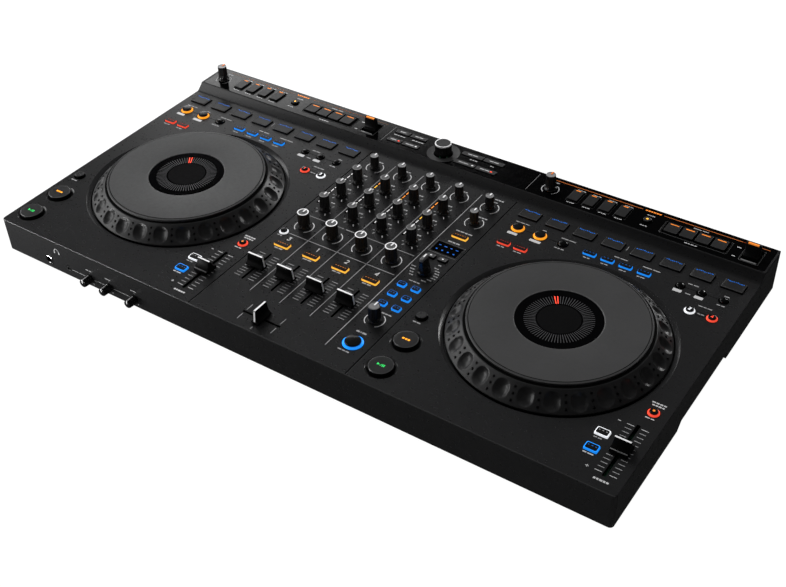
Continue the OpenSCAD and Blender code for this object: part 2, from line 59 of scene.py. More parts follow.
# ------------------------------------------------------------------ materials
def new_mat(name):
    m = bpy.data.materials.new(name)
    m.use_nodes = True
    nt = m.node_tree
    nt.nodes.clear()
    out = nt.nodes.new("ShaderNodeOutputMaterial")
    bs = nt.nodes.new("ShaderNodeBsdfPrincipled")
    nt.links.new(bs.outputs["BSDF"], out.inputs["Surface"])
    return m, nt, bs


def obj_coord(nt, scale=1.0):
    tc = nt.nodes.new("ShaderNodeTexCoord")
    mp = nt.nodes.new("ShaderNodeMapping")
    mp.inputs["Scale"].default_value = (scale, scale, scale)
    nt.links.new(tc.outputs["Object"], mp.inputs["Vector"])
    return mp.outputs["Vector"]


def noise(nt, vec, scale, detail=2.0, rough=0.5):
    n = nt.nodes.new("ShaderNodeTexNoise")
    n.inputs["Scale"].default_value = scale
    n.inputs["Detail"].default_value = detail
    n.inputs["Roughness"].default_value = rough
    nt.links.new(vec, n.inputs["Vector"])
    return n.outputs["Fac"]


def ramp(nt, fac, stops):
    r = nt.nodes.new("ShaderNodeValToRGB")
    el = r.color_ramp.elements
    while len(el) > 1:
        el.remove(el[-1])
    el[0].position, el[0].color = stops[0][0], (*stops[0][1], 1)
    for p, c in stops[1:]:
        e = el.new(p)
        e.color = (*c, 1)
    nt.links.new(fac, r.inputs["Fac"])
    return r.outputs["Color"]


def rng(nt, fac, lo, hi, a=0.3, b=0.7):
    m = nt.nodes.new("ShaderNodeMapRange")
    m.inputs["From Min"].default_value = a
    m.inputs["From Max"].default_value = b
    m.inputs["To Min"].default_value = lo
    m.inputs["To Max"].default_value = hi
    nt.links.new(fac, m.inputs["Value"])
    return m.outputs["Result"]


def bump(nt, bs, height, dist, strength=1.0):
    b = nt.nodes.new("ShaderNodeBump")
    b.inputs["Distance"].default_value = dist
    b.inputs["Strength"].default_value = strength
    nt.links.new(height, b.inputs["Height"])
    nt.links.new(b.outputs["Normal"], bs.inputs["Normal"])


def plastic(name, col, rough, spec=0.5, grain=0.0, grain_scale=1500.0, vary=0.12, rvary=0.06, coat=0.0, coat_r=0.1, metal=0.0):
    """A moulded plastic or painted surface: slow colour drift, roughness breakup and a fine grain."""
    m, nt, bs = new_mat(name)
    v = obj_coord(nt)
    slow = noise(nt, v, 45.0, 3.0, 0.6)
    lo = tuple(c * (1 - vary) for c in col)
    hi = tuple(c * (1 + vary) for c in col)
    nt.links.new(ramp(nt, slow, [(0.3, lo), (0.7, hi)]), bs.inputs["Base Color"])
    fine = noise(nt, v, grain_scale, 2.0, 0.6)
    if rvary:
        mid = noise(nt, v, 320.0, 2.0, 0.5)
        nt.links.new(rng(nt, mid, max(rough - rvary, 0.02), min(rough + rvary, 1.0)), bs.inputs["Roughness"])
    else:
        bs.inputs["Roughness"].default_value = rough
    bs.inputs["Specular IOR Level"].default_value = spec
    bs.inputs["Metallic"].default_value = metal
    if coat:
        bs.inputs["Coat Weight"].default_value = coat
        bs.inputs["Coat Roughness"].default_value = coat_r
    if grain:
        bump(nt, bs, fine, grain)
    return m


def lit(name, col, strength, rough=0.35):
    """Tinted translucent plastic with a lamp behind it: bright with slow unevenness."""
    m, nt, bs = new_mat(name)
    v = obj_coord(nt)
    f = noise(nt, v, 260.0, 2.0, 0.5)
    a = tuple(c * 0.82 for c in col)
    c = ramp(nt, f, [(0.3, a), (0.7, col)])
    nt.links.new(c, bs.inputs["Base Color"])
    nt.links.new(c, bs.inputs["Emission Color"])
    bs.inputs["Emission Strength"].default_value = strength
    bs.inputs["Roughness"].default_value = rough
    bs.inputs["Specular IOR Level"].default_value = 0.3
    return m


M = {}
M["deck"] = plastic("deck_plastic", (0.0125, 0.0125, 0.0129), 0.29, 0.45, grain=0.000004, grain_scale=2600, vary=0.05, rvary=0.02)
# a lighter tone for front top bevels: a painted highlight along the edge
M["edge"] = plastic("deck_edge_painted_highlight", (0.035, 0.035, 0.0355), 0.34, 0.3, vary=0.05, rvary=0.02)
M["case"] = plastic("case_plastic", (0.012, 0.012, 0.0125), 0.6, 0.35, grain=0.00008, grain_scale=1500)
M["groove"] = plastic("groove_shadow", (0.002, 0.002, 0.002), 0.8, 0.1)
M["gloss"] = plastic("gloss_bar", (0.0008, 0.0008, 0.0009), 0.13, 0.5, vary=0.1, rvary=0.02)
M["gloss_display"] = plastic("gloss_display", (0.0012, 0.0012, 0.0014), 0.08, 0.35, rvary=0.015)
M["cap"] = plastic("button_cap", (0.005, 0.005, 0.0052), 0.36, 0.45, grain=0.00002, grain_scale=2500)
M["cap_gloss"] = plastic("round_cap", (0.006, 0.006, 0.0063), 0.2, 0.55, rvary=0.03)
M["moat"] = plastic("button_well", (0.02, 0.02, 0.021), 0.33, 0.5)
M["knob"] = plastic("knob_rubber", (0.0028, 0.0028, 0.003), 0.28, 0.6, rvary=0.02)
# the ribbed band of the knobs, lighter than the body: painted sheen on the ribs
M["knob_rib_sheen"] = plastic("knob_rib_sheen", (0.012, 0.012, 0.0123), 0.34, 0.55, rvary=0.02)
# a lighter band on the knob foot's lip: a painted highlight
M["knob_lip"] = plastic("knob_foot_painted_highlight", (0.06, 0.06, 0.0605), 0.22, 1.0, rvary=0.02)
M["knob_top"] = plastic("knob_top", (0.15, 0.15, 0.152), 0.4, 0.5, vary=0.05)
M["knob_top_dark"] = plastic("knob_top_dark", (0.075, 0.075, 0.076), 0.42, 0.5, vary=0.05)
M["fader"] = plastic("fader_cap", (0.0016, 0.0016, 0.0017), 0.5, 0.1)
M["rim"] = plastic("rim_rubber", (0.019, 0.019, 0.0194), 0.36, 0.6, grain=0.000006, grain_scale=2200, rvary=0.02, vary=0.06)
# near-black studs on the jog rims: painted shade
M["stud_shade"] = plastic("rim_stud_painted_shade", (0.003, 0.003, 0.0031), 0.4, 0.3)
M["plate"] = plastic("jog_plate", (0.037, 0.037, 0.0375), 0.46, 0.7, grain=0.00006, grain_scale=1500, vary=0.06)
M["plate_edge"] = plastic("jog_plate_edge", (0.085, 0.085, 0.086), 0.3, 0.6, vary=0.05)
M["plate_band"] = plastic("jog_plate_band", (0.034, 0.034, 0.0345), 0.42, 0.5, vary=0.06)
M["rubber"] = plastic("feet_rubber", (0.01, 0.01, 0.01), 0.85, 0.2, grain=0.0001, grain_scale=900)
M["steel"] = plastic("screw_steel", (0.35, 0.35, 0.36), 0.32, 0.5, metal=1.0, vary=0.08)
M["chrome"] = plastic("jack_chrome", (0.85, 0.85, 0.86), 0.16, 0.5, metal=1.0, vary=0.04)
M["board"] = plastic("circuit_board", (0.012, 0.06, 0.028), 0.45, 0.4, grain=0.00005, grain_scale=900)
# near-black painted shade for the walls of holes, slots and wells and the bores of sockets
M["hole_shade"] = plastic("hole_painted_shade", (0.0015, 0.0015, 0.0015), 0.7, 0.1)
M["white"] = plastic("white_print", (0.78, 0.78, 0.79), 0.5, 0.3, vary=0.06)
M["ink"] = plastic("grey_print", (0.30, 0.30, 0.305), 0.5, 0.3, vary=0.1)
M["ink_hi"] = plastic("pale_print", (0.48, 0.48, 0.485), 0.5, 0.3, vary=0.1)
M["label"] = plastic("label_block", (0.46, 0.46, 0.465), 0.5, 0.3, vary=0.06)
M["line"] = plastic("line_print", (0.24, 0.24, 0.244), 0.5, 0.3, vary=0.1)
# a thin lighter strip beside the panel seams: a painted highlight on the seam's edge
M["seam_edge_highlight"] = plastic("seam_edge_highlight", (0.045, 0.045, 0.0455), 0.4, 0.4)
M["faint"] = plastic("faint_print", (0.19, 0.19, 0.193), 0.5, 0.3, vary=0.1)
M["tick"] = plastic("display_tick", (0.055, 0.055, 0.057), 0.4, 0.3, vary=0.1)
M["hub"] = plastic("display_centre", (0.0035, 0.0035, 0.0037), 0.65, 0.04, vary=0.05)
M["orange_ink"] = lit("orange_print", (0.66, 0.155, 0.02), 0.3)
M["orange_line"] = lit("orange_line", (0.48, 0.13, 0.03), 0.3)
# a dulled copy of the orange line for the left bar: a painted stand-in for the reflection washing over it
M["orange_line_reflection_dulled"] = lit("orange_line_reflection_dulled", (0.13, 0.062, 0.03), 0.1)
M["orange_mark"] = lit("orange_mark", (0.85, 0.24, 0.03), 0.45)
M["ledge"] = plastic("lever_ledge", (0.13, 0.13, 0.131), 0.4, 0.5)
# the lighter edge of the raised frames on the rear plate: a painted highlight
M["frame_edge_highlight"] = plastic("bar_frame_edge_highlight", (0.085, 0.085, 0.086), 0.34, 0.6)
# a lighter grey for edge bands and outlines: a painted highlight
M["bezel_highlight"] = plastic("bar_bezel_highlight", (0.045, 0.045, 0.0455), 0.3, 0.5)
M["pad"] = plastic("pad_rubber", (0.017, 0.017, 0.0173), 0.36, 0.4, vary=0.05, rvary=0.02)
# lighter top edge band of the pads: a painted highlight
M["pad_edge_highlight"] = plastic("pad_edge_highlight", (0.085, 0.085, 0.086), 0.3, 0.7)
M["cap_big"] = plastic("transport_cap", (0.0165, 0.0165, 0.017), 0.34, 0.45)
# near-black for the sides of buttons, pads and keys: painted shade
M["shade_black"] = plastic("button_side_painted_shade", (0.0012, 0.0012, 0.0013), 0.5, 0.15)
# a lighter lip round the tops of round caps: a painted highlight
M["cap_rim_highlight"] = plastic("transport_cap_rim_highlight", (0.06, 0.06, 0.061), 0.22, 0.9)
M["black_dome"] = plastic("black_dome", (0.0025, 0.0025, 0.0026), 0.14, 0.7, rvary=0.02)
M["plain_cap"] = plastic("plain_round_cap", (0.022, 0.022, 0.0225), 0.3, 0.5)
M["bar_cap"] = plastic("bar_button_cap", (0.018, 0.018, 0.0183), 0.3, 0.45, vary=0.05, rvary=0.01)
M["browse_key"] = plastic("browse_key_cap", (0.03, 0.03, 0.0305), 0.36, 0.5, vary=0.05, rvary=0.01)
M["key_grey"] = plastic("small_button_cap", (0.05, 0.05, 0.051), 0.42, 0.5)
M["l_blue_pad"] = lit("lamp_blue_pad", (0.010, 0.10, 0.42), 0.85)
M["lever"] = plastic("lever_plastic", (0.0035, 0.0035, 0.0036), 0.4, 0.16)
M["window_frame"] = plastic("window_frame", (0.02, 0.02, 0.0205), 0.4, 0.45)
M["phono_a"] = plastic("phono_red", (0.45, 0.02, 0.015), 0.4, 0.5)
M["phono_b"] = plastic("phono_white", (0.6, 0.6, 0.6), 0.4, 0.5)
M["dim_l_blue"] = lit("edge_blue", (0.012, 0.14, 0.55), 0.7)
M["dim_l_red"] = lit("edge_red", (0.55, 0.05, 0.03), 0.7)
M["dim_l_amber"] = lit("edge_amber", (0.75, 0.30, 0.04), 0.7)
M["dim_l_white"] = lit("edge_white", (0.45, 0.46, 0.48), 0.6)
M["dim_l_orange"] = lit("edge_orange", (0.75, 0.24, 0.03), 0.7)
M["d_blue"] = lit("dim_blue", (0.012, 0.10, 0.34), 0.6)
M["d_red"] = lit("dim_red", (0.30, 0.03, 0.02), 0.6)
M["d_amber"] = lit("dim_amber", (0.45, 0.15, 0.02), 0.6)
M["l_orange"] = lit("lamp_orange", (1.0, 0.36, 0.02), 0.95)
M["l_amber"] = lit("lamp_amber", (1.0, 0.50, 0.06), 1.0)
M["l_red"] = lit("lamp_red", (0.95, 0.075, 0.04), 0.85)
M["l_blue"] = lit("lamp_blue", (0.012, 0.27, 0.95), 0.92)
M["l_blue_dim"] = lit("lamp_blue_dim", (0.012, 0.095, 0.42), 0.75)
M["l_white"] = lit("lamp_white", (0.85, 0.87, 0.9), 0.85)
M["m_white"] = lit("meter_white", (0.6, 0.6, 0.6), 0.5)
M["m_yellow"] = lit("meter_yellow", (0.85, 0.48, 0.05), 0.7)
M["m_orange"] = lit("meter_orange", (0.8, 0.26, 0.04), 0.6)
M["l_green"] = lit("lamp_green", (0.03, 0.62, 0.12), 0.8)
M["l_yellow"] = lit("lamp_yellow", (0.9, 0.5, 0.03), 0.9)


# ------------------------------------------------------------------ mesh builder
class Mesh:
    """Collects vertices and faces in deck millimetres, with one material name per face."""

    def __init__(self):
        self.v, self.f, self.m, self.s = [], [], [], []

    def add(self, verts, faces, mat, smooth=True):
        o = len(self.v)
        self.v.extend(verts)
        for i, f in enumerate(faces):
            self.f.append([o + k for k in f])
            self.m.append(mat[i] if isinstance(mat, list) else mat)
            self.s.append(smooth)

    def loft(self, loops, mats, cap0=None, cap1=None, smooth=True):
        """Joins closed loops of equal length; mats names the material of each band."""
        n = len(loops[0])
        verts = [p for l in loops for p in l]
        faces, ms = [], []
        for i in range(len(loops) - 1):
            mt = mats if isinstance(mats, str) else mats[i]
            for j in range(n):
                k = (j + 1) % n
                faces.append([i * n + j, i * n + k, (i + 1) * n + k, (i + 1) * n + j])
                ms.append(mt)
        if cap0:
            faces.append(list(range(n))[::-1])
            ms.append(cap0)
        if cap1:
            faces.append([(len(loops) - 1) * n + j for j in range(n)])
            ms.append(cap1)
        k = len(self.s)
        self.add(verts, faces, ms, smooth)
        if smooth:     # level bands and end caps are shaded flat
            for i in range(len(loops) - 1):
                zs = [q[2] for q in (loops[i][0], loops[i][n // 3], loops[i + 1][0], loops[i + 1][n // 3])]
                if max(zs) - min(zs) < 1e-6:
                    self.s[k + i * n:k + i * n + n] = [False] * n
            for j in range(k + (len(loops) - 1) * n, len(self.s)):
                self.s[j] = False

    def lathe(self, prof, mats, x=0, y=0, z=0, n=48, a0=0.0, cap0=None, cap1=None):
        """Turns (r, z) points about Z. Points go up the outside, so normals face out."""
        loops = []
        for r, h in prof:
            loops.append([(x + r * math.cos(a0 + 2 * PI * j / n), y + r * math.sin(a0 + 2 * PI * j / n), z + h) for j in range(n)])
        self.loft(loops, mats, cap0, cap1)

    def box(self, x0, x1, y0, y1, z0, z1, mat):
        v = [(x, y, z) for z in (z0, z1) for y in (y0, y1) for x in (x0, x1)]
        f = [[0, 2, 3, 1], [4, 5, 7, 6], [0, 1, 5, 4], [2, 6, 7, 3], [0, 4, 6, 2], [1, 3, 7, 5]]
        self.add(v, f, mat, False)

    def prism(self, pts, z0, z1, mat, side=None):
        n = len(pts)
        v = [(p[0], p[1], z0) for p in pts] + [(p[0], p[1], z1) for p in pts]
        f = [list(range(n))[::-1], [n + i for i in range(n)]]
        f += [[i, (i + 1) % n, n + (i + 1) % n, n + i] for i in range(n)]
        self.add(v, f, [mat, mat] + [side or mat] * n, False)

    def build(self, name, body, node=None, slot=None, angle=35):
        me = bpy.data.meshes.new(name)
        me.from_pydata([W(*p) for p in self.v], [], self.f)
        names = []
        for m in self.m:
            if m not in names:
                names.append(m)
        for m in names:
            me.materials.append(M[m])
        idx = {m: i for i, m in enumerate(names)}
        me.polygons.foreach_set("material_index", [idx[m] for m in self.m])
        me.update()
        if angle:
            me.set_sharp_from_angle(angle=math.radians(angle))
        me.polygons.foreach_set("use_smooth", self.s)
        me.validate()
        o = bpy.data.objects.new(name, me)
        bpy.context.scene.collection.objects.link(o)
        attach(o, body)
        if node:
            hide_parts(*(node if isinstance(node, (list, tuple)) else [node]))
        return o


def rr(w, d, r, z, x=0, y=0, seg=4):
    """A rounded rectangle's loop, anticlockwise."""
    r = max(min(r, w / 2 - 1e-3, d / 2 - 1e-3), 0.01)
    pts = []
    for cx, cy, a in ((w / 2 - r, d / 2 - r, 0), (-w / 2 + r, d / 2 - r, 90), (-w / 2 + r, -d / 2 + r, 180), (w / 2 - r, -d / 2 + r, 270)):
        for k in range(seg + 1):
            t = math.radians(a + 90 * k / seg)
            pts.append((x + cx + r * math.cos(t), y + cy + r * math.sin(t), z))
    return pts


def raw(mesh, name):
    me = bpy.data.meshes.new(name)
    me.from_pydata([tuple(c for c in p) for p in mesh.v], [], mesh.f)
    me.update()
    bm = bmesh.new()
    bm.from_mesh(me)
    bmesh.ops.recalc_face_normals(bm, faces=bm.faces)
    bm.to_mesh(me)
    bm.free()
    o = bpy.data.objects.new(name, me)
    bpy.context.scene.collection.objects.link(o)
    return o


def cut(target, tool, op="DIFFERENCE"):
    m = target.modifiers.new("cut", "BOOLEAN")
    m.operation = op
    m.solver = "EXACT"
    m.object = tool
    dg = bpy.context.evaluated_depsgraph_get()
    me = bpy.data.meshes.new_from_object(target.evaluated_get(dg))
    target.modifiers.clear()
    old = target.data
    target.data = me
    bpy.data.meshes.remove(old)
    bpy.data.objects.remove(tool)


def moved(sub, fn):
    sub.v = [fn(p) for p in sub.v]
    return sub


def join(a, b):
    a.add(b.v, b.f, b.m, True)
    a.s[-len(b.f):] = b.s
    return a


def to_front(X, Z):
    return lambda p: (X + p[0], -p[2], Z + p[1])


def to_back(X, Z):
    return lambda p: (X - p[0], BODY_D + p[2], Z + p[1])


# ------------------------------------------------------------------ lists of controls (as the frame has them)
PADS = [(-110.25 + 31.5 * i, 296.5, 21.5, 14.0) for i in range(8)]
MODES = [(-29.25 + 19.5 * i, 271.0, 16.0, 8.7) for i in range(4)]
REDS = [(-110.5, 242.0, 16.5, 8.7), (-91.5, 242.0, 16.5, 8.7)]
SYNCS = [(90.3, 58.0, 14.7, 10.0), (90.3, 38.0, 14.7, 10.0)]
ROUNDS = [(-110.6, 271, 7.1, 5.1, 3.2), (-85, 271, 7.1, 5.1, 3.2), (-59, 271, 5.3, 4.2, 2.6), (66.6, 271.5, 4.5, 3.8, 2.4), (88.2, 271.5, 4.5, 3.8, 2.4),
          (110.2, 271.5, 4.5, 3.8, 2.4), (88.5, 242, 5.3, 3.8, 2.4), (110.5, 242, 5.3, 3.8, 2.4), (-118, 102, 5.8, 5.3, 3), (116.3, 101.7, 5.4, 3.7, 2.5)]
TRANSPORT = [(-111.5, 65.5, 12.75, 12.2, 3), (-111.5, 25.0, 12.75, 12.2, 3)]
CUES = [(x, 121.3, 21.0, 10.0) for x in CH]
MIX_KEYS = CUES + [(72.7, 227, 20.6, 9), (65.2, 184.4, 9.5, 6), (79, 184.4, 9.5, 6)] + [(x, y, 12.5, 9) for x in (65, 81) for y in (99, 115.8, 132.5)]
MIX_ROUNDS = [(73.8, 38.5, 10.1, 7.4, 3.0), (-86.3, 140, 4.9, 3.5, 2.3)]
BAR_FX = [(-81.5 + 18.07 * i, 341.2, 11.8, 19.5) for i in range(4)]
BAR_BANK = [(27.4 + 16.57 * i, 340.0, 15.1, 16.0) for i in range(4)]
BAR_ROUND = (-0.6, 341.0, 4.85, 4.2, 2.4)
BROWSE = [(x, y, w, 6.7) for y in (333.5, 351.5) for x, w in ((-79, 18), (-57.5, 21), (13, 26), (39.8, 24.6))]
ROWS = {"trim": (285.9, 16, 4.6, 5.6), "high": (253.5, 19, 5.15, 6.75), "mid": (223.3, 19, 5.15, 6.75), "low": (193.7, 19, 5.15, 6.75), "colour": (157.7, 18.5, 6.1, 7)}
FRONT_Z, JACK_X, MINI_X, FRONT_K = -28.4, -292.3, -263.5, (-232.5, -205.5, -170.0)
BACK_ROUND = [(-98, 5.4), (-74, 5.4), (-40, 4.45), (-24, 4.45), (4, 4.45), (20, 4.45)]
BOSSES = [(-320, 14), (-97, 14), (97, 14), (320, 14), (-340, 352), (-115, 352), (115, 352), (340, 352)]


def shrink(k):
    """A lit key's visible cap is a little smaller than its key frame."""
    x, y, w, d = k
    return (x, y, w - (3.4 if w < 13.6 or w > 20 else 2.7), d - 1.8)


MODES, REDS, SYNCS = [[shrink(k) for k in q] for q in (MODES, REDS, SYNCS)]
CUES = [shrink(k) for k in CUES]
MIX_KEYS = [shrink(k) if k[2] > 10 else k for k in MIX_KEYS[4:]]


# ------------------------------------------------------------------ cover
def key_cut(c, x, y, w, d, z0=-6.0, zt=0.0, gap=0.45, flare=0.3, r=0.9):
    c.loft([rr(w + 2 * gap, d + 2 * gap, r, z0, x, y), rr(w + 2 * gap, d + 2 * gap, r, zt - flare, x, y),
            rr(w + 2 * gap + 2 * flare, d + 2 * gap + 2 * flare, r + flare, zt, x, y), rr(w + 2 * gap + 2 * flare, d + 2 * gap + 2 * flare, r + flare, zt + 1.5, x, y)], "deck", "deck", "deck")


def round_cut(c, x, y, r, z0=-6.0, zt=0.0, gap=0.6, flare=0.3, n=40):
    c.lathe([(r + gap, z0), (r + gap, zt - flare), (r + gap + flare, zt), (r + gap + flare, zt + 1.5)], "deck", x, y, 0, n, 0.0, "deck", "deck")


def make_cover():
    # outer solid: the side profile, run along X
    prof = [(0, -FRONT_H), (0, 0)]
    for k in range(7):   # soft concave foot of the riser
        t = k / 6
        prof.append((311.2 + 3.6 * t, 1.55 * t * t))
    for k in range(5):   # crown of the riser
        t = k / 4
        prof.append((320.3 + 1.9 * t, 6.55 + 1.45 * (1 - (1 - t) ** 2)))
    prof += [(362.7, BAR_Z), (BODY_D, BAR_Z - 3.3), (BODY_D, -FRONT_H)]
    b = Mesh()
    h = BODY_W / 2
    n = len(prof)
    b.add([(-h, p[0], p[1]) for p in prof] + [(h, p[0], p[1]) for p in prof],
          [list(range(n)), [n + i for i in range(n)][::-1]] + [[i, n + i, n + (i + 1) % n, (i + 1) % n] for i in range(n)], "deck", False)
    cover = raw(b, "cover")
    bm = bmesh.new()
    bm.from_mesh(cover.data)
    es = [e for e in bm.edges if abs(e.verts[0].co.z - e.verts[1].co.z) > 25 and abs(e.verts[0].co.y - e.verts[1].co.y) < 0.1]
    bmesh.ops.bevel(bm, geom=es, offset=4.0, offset_type="OFFSET", segments=6, profile=0.5, affect="EDGES")
    bm.normal_update()
    es = []
    for e in bm.edges:
        if len(e.link_faces) == 2 and min(v.co.z for v in e.verts) > -3.5:
            a, c = (abs(f.normal.z) for f in e.link_faces)
            if max(a, c) > 0.5 and min(a, c) < 0.3:
                es.append(e)
    bmesh.ops.bevel(bm, geom=es, offset=0.75, offset_type="OFFSET", segments=2, profile=0.5, affect="EDGES", clamp_overlap=True)
    bm.to_mesh(cover.data)
    bm.free()
    # hollow, with the wells' cups and the screw bosses left standing
    c = Mesh()
    c.loft([rr(BODY_W - 5, BODY_D - 5, 2, -FRONT_H - 1, 0, BODY_D / 2), rr(BODY_W - 5, BODY_D - 5, 2, -2.5, 0, BODY_D / 2)], "deck", "deck", "deck")
    cav = raw(c, "cav")
    c = Mesh()
    for s in (-1, 1):
        c.lathe([(108.4, -11.5), (108.4, 0)], "deck", s * DX, JY, 0, 96, 0.0, "deck", "deck")
    for x, y in BOSSES:
        c.lathe([(4.5, -36.1), (4.5, 0)], "deck", x, y, 0, 24, 0.0, "deck", "deck")
    cut(cav, raw(c, "keep"))
    cut(cover, cav)
    c = Mesh()
    hw = BODY_W / 2 - 2.5
    pr = [(315.6, -3.2), (323.4, 3.4), (BODY_D - 2.5, 3.4), (BODY_D - 2.5, -3.2)]
    c.add([(-hw, p[0], p[1]) for p in pr] + [(hw, p[0], p[1]) for p in pr],
          [[0, 1, 2, 3], [7, 6, 5, 4]] + [[i, 4 + i, 4 + (i + 1) % 4, (i + 1) % 4] for i in range(4)], "deck", False)
    cut(cover, raw(c, "riser_hollow"))
    # seat of the rear plate, hand grips, socket bay
    c = Mesh()
    c.loft([rr(BODY_W - 4, 40.5, 3, 6.0, 0, 342.25), rr(BODY_W - 4, 40.5, 3, 12, 0, 342.25)], "deck", "deck", "deck")
    cut(cover, raw(c, "seat"))
    c = Mesh()
    c.loft([rr(BODY_W - 14, 33.5, 2, -6, 0, 342.25), rr(BODY_W - 14, 33.5, 2, 9, 0, 342.25)], "deck", "deck", "deck")
    cut(cover, raw(c, "plate_opening"))
    c = Mesh()
    for s in (-1, 1):
        pr = [(127, -40), (136, -31), (240, -31), (240, -40)]
        x0, x1 = s * BODY_W / 2 - 4, s * BODY_W / 2 + 4
        c.add([(x0, p[0], p[1]) for p in pr] + [(x1, p[0], p[1]) for p in pr],
              [[0, 1, 2, 3], [7, 6, 5, 4]] + [[i, 4 + i, 4 + (i + 1) % 4, (i + 1) % 4] for i in range(4)], "deck", False)
    for x, r in BACK_ROUND:
        s_ = Mesh()
        s_.lathe([(r, -4), (r, -0.3), (r + 0.3, 0), (r + 0.3, 2)], "deck", 0, 0, 0, 32, 0.0, "deck", "deck")
        join(c, moved(s_, to_back(x, -21)))
    for x in (58, 80, 102):
        c.box(x - 4.9, x + 4.9, BODY_D - 4, BODY_D + 4, -23, -19, "deck")
    cut(cover, raw(c, "bay"))
    # jog wells
    c = Mesh()
    for s in (-1, 1):
        c.lathe([(30, -13), (30, -9), (105.8, -9), (105.8, -3.1), (106.3, -2.7), (109.4, -0.3), (110.2, 0), (110.2, 2)], "deck", s * DX, JY, 0, 192, 0.0, "deck", "deck")
    cut(cover, raw(c, "wells"))
    # every hole in the deck and the front wall
    c = Mesh()
    for s in (-1, 1):
        cx = s * DX
        for x, y, w, d in PADS + MODES + REDS + SYNCS:
            key_cut(c, cx + x, y, w, d)
        for b_ in ROUNDS:
            round_cut(c, cx + b_[0], b_[1], b_[2])
        for b_ in TRANSPORT:
            c.lathe([(13.25, -6), (13.25, -1.5), (13.6, -1.2), (14.5, -0.35), (15.1, 0), (15.1, 1.5)], "deck", cx + b_[0], b_[1], 0, 64, 0.0, "deck", "deck")
        key_cut(c, cx + 112.3, 48.5, 2.4, 65.6, r=0.5, flare=0.2)
    for x, y, w, d in CUES + MIX_KEYS:
        key_cut(c, x, y, w, d)
    for b_ in MIX_ROUNDS:
        round_cut(c, b_[0], b_[1], b_[2])
    for x in CH:
        for r in ROWS.values():
            round_cut(c, x, r[0], 3.4, flare=0.2, n=24)
        key_cut(c, x, 80, 1.4, 45.0, r=0.4, flare=0.2)
    for x, y in ((72.7, 285.9), (72.7, 254.7), (73.5, 158.8), (72.8, 75)):
        round_cut(c, x, y, 3.4, flare=0.2, n=24)
    key_cut(c, -18.7, 19.8, 44.0, 1.4, r=0.4, flare=0.2)
    key_cut(c, 73, 201.8, 31.4, 18.9, r=0.5, flare=0.3)
    for x in CH:
        key_cut(c, x - 14.5, 234, 1.8, 69.2, r=0.3, flare=0.1, gap=0.3)
    for x in (-94.1, 92):
        c.loft([rr(1.15, 310, 0.3, -0.9, x, 156), rr(1.15, 310, 0.3, -0.12, x, 156), rr(1.4, 310.3, 0.4, 0, x, 156), rr(1.4, 310.3, 0.4, 1, x, 156)], "deck", "deck", "deck")
    for X, r in [(JACK_X, 5.5), (MINI_X, 2.9)] + [(k, 3.4) for k in FRONT_K]:
        s_ = Mesh()
        s_.lathe([(r + 0.2, -5), (r + 0.2, -0.25), (r + 0.45, 0), (r + 0.45, 2)], "deck", 0, 0, 0, 32, 0.0, "deck", "deck")
        join(c, moved(s_, to_front(X, FRONT_Z)))
    cut(cover, raw(c, "holes"))
    me = cover.data
    for m in ("deck", "dish", "hole_shade", "edge"):
        me.materials.append(M[m])
    idx = []
    for p in me.polygons:
        x, y, z = p.center
        k = 0
        for s in (-1, 1):
            r = math.hypot(x - s * DX, y - JY)
            if 105.9 < r < 110.4 and -3.3 < z < -0.001:
                k = 1
            for b_ in TRANSPORT:
                if math.hypot(x - s * DX - b_[0], y - b_[1]) < 15.2 and -1.6 < z < -0.001:
                    k = 1
        # walls of holes, slots and the jog wells below the deck are painted near-black as shade
        if k == 0 and y > 1 and z < -0.2 and abs(p.normal.z) < 0.35 and abs(x) < 350 and y < 350 and z > -9.5:
            k = 2
        if k == 0 and z < -0.05 and 0 < y < 312 and (abs(x + 94.1) < 0.75 or abs(x - 92) < 0.75):
            k = 2
        # the front top bevel takes the lighter edge tone, a painted highlight
        if k == 0 and y < 1.6 and -1.2 < z and 0.2 < p.normal.z < 0.97:
            k = 3
        idx.append(k)
    me.polygons.foreach_set("material_index", idx)
    flat = [abs(p.normal.z) < 0.9995 and abs(p.normal.y) < 0.9999 and abs(p.normal.x) < 0.9999 for p in me.polygons]
    me.transform(Matrix.Diagonal((0.001, 0.001, 0.001, 1)))
    me.transform(Matrix.Translation((0, -Y_MID * 0.001, DECK_Z * 0.001)))
    me.set_sharp_from_angle(angle=math.radians(32))
    me.polygons.foreach_set("use_smooth", flat)
    me.update()
    cover.name = "cover_shell"
    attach(cover, "case")
    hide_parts("top_cover")
    return cover


M["dish"] = plastic("dish_polish", (0.014, 0.014, 0.0144), 0.24, 1.0, vary=0.04, rvary=0.02)
make_cover()


# ------------------------------------------------------------------ printed marks
def bar(m, x, y, w, d, mat, z=0.0, r=0.0, t=0.06):
    """A printed bar. With r it has round corners."""
    if r:
        pts = [(p[0], p[1]) for p in rr(w, d, r, 0, x, y)]
    else:
        pts = [(x - w / 2, y - d / 2), (x + w / 2, y - d / 2), (x + w / 2, y + d / 2), (x - w / 2, y + d / 2)]
    m.prism(pts, z - 0.05, z + t, mat)


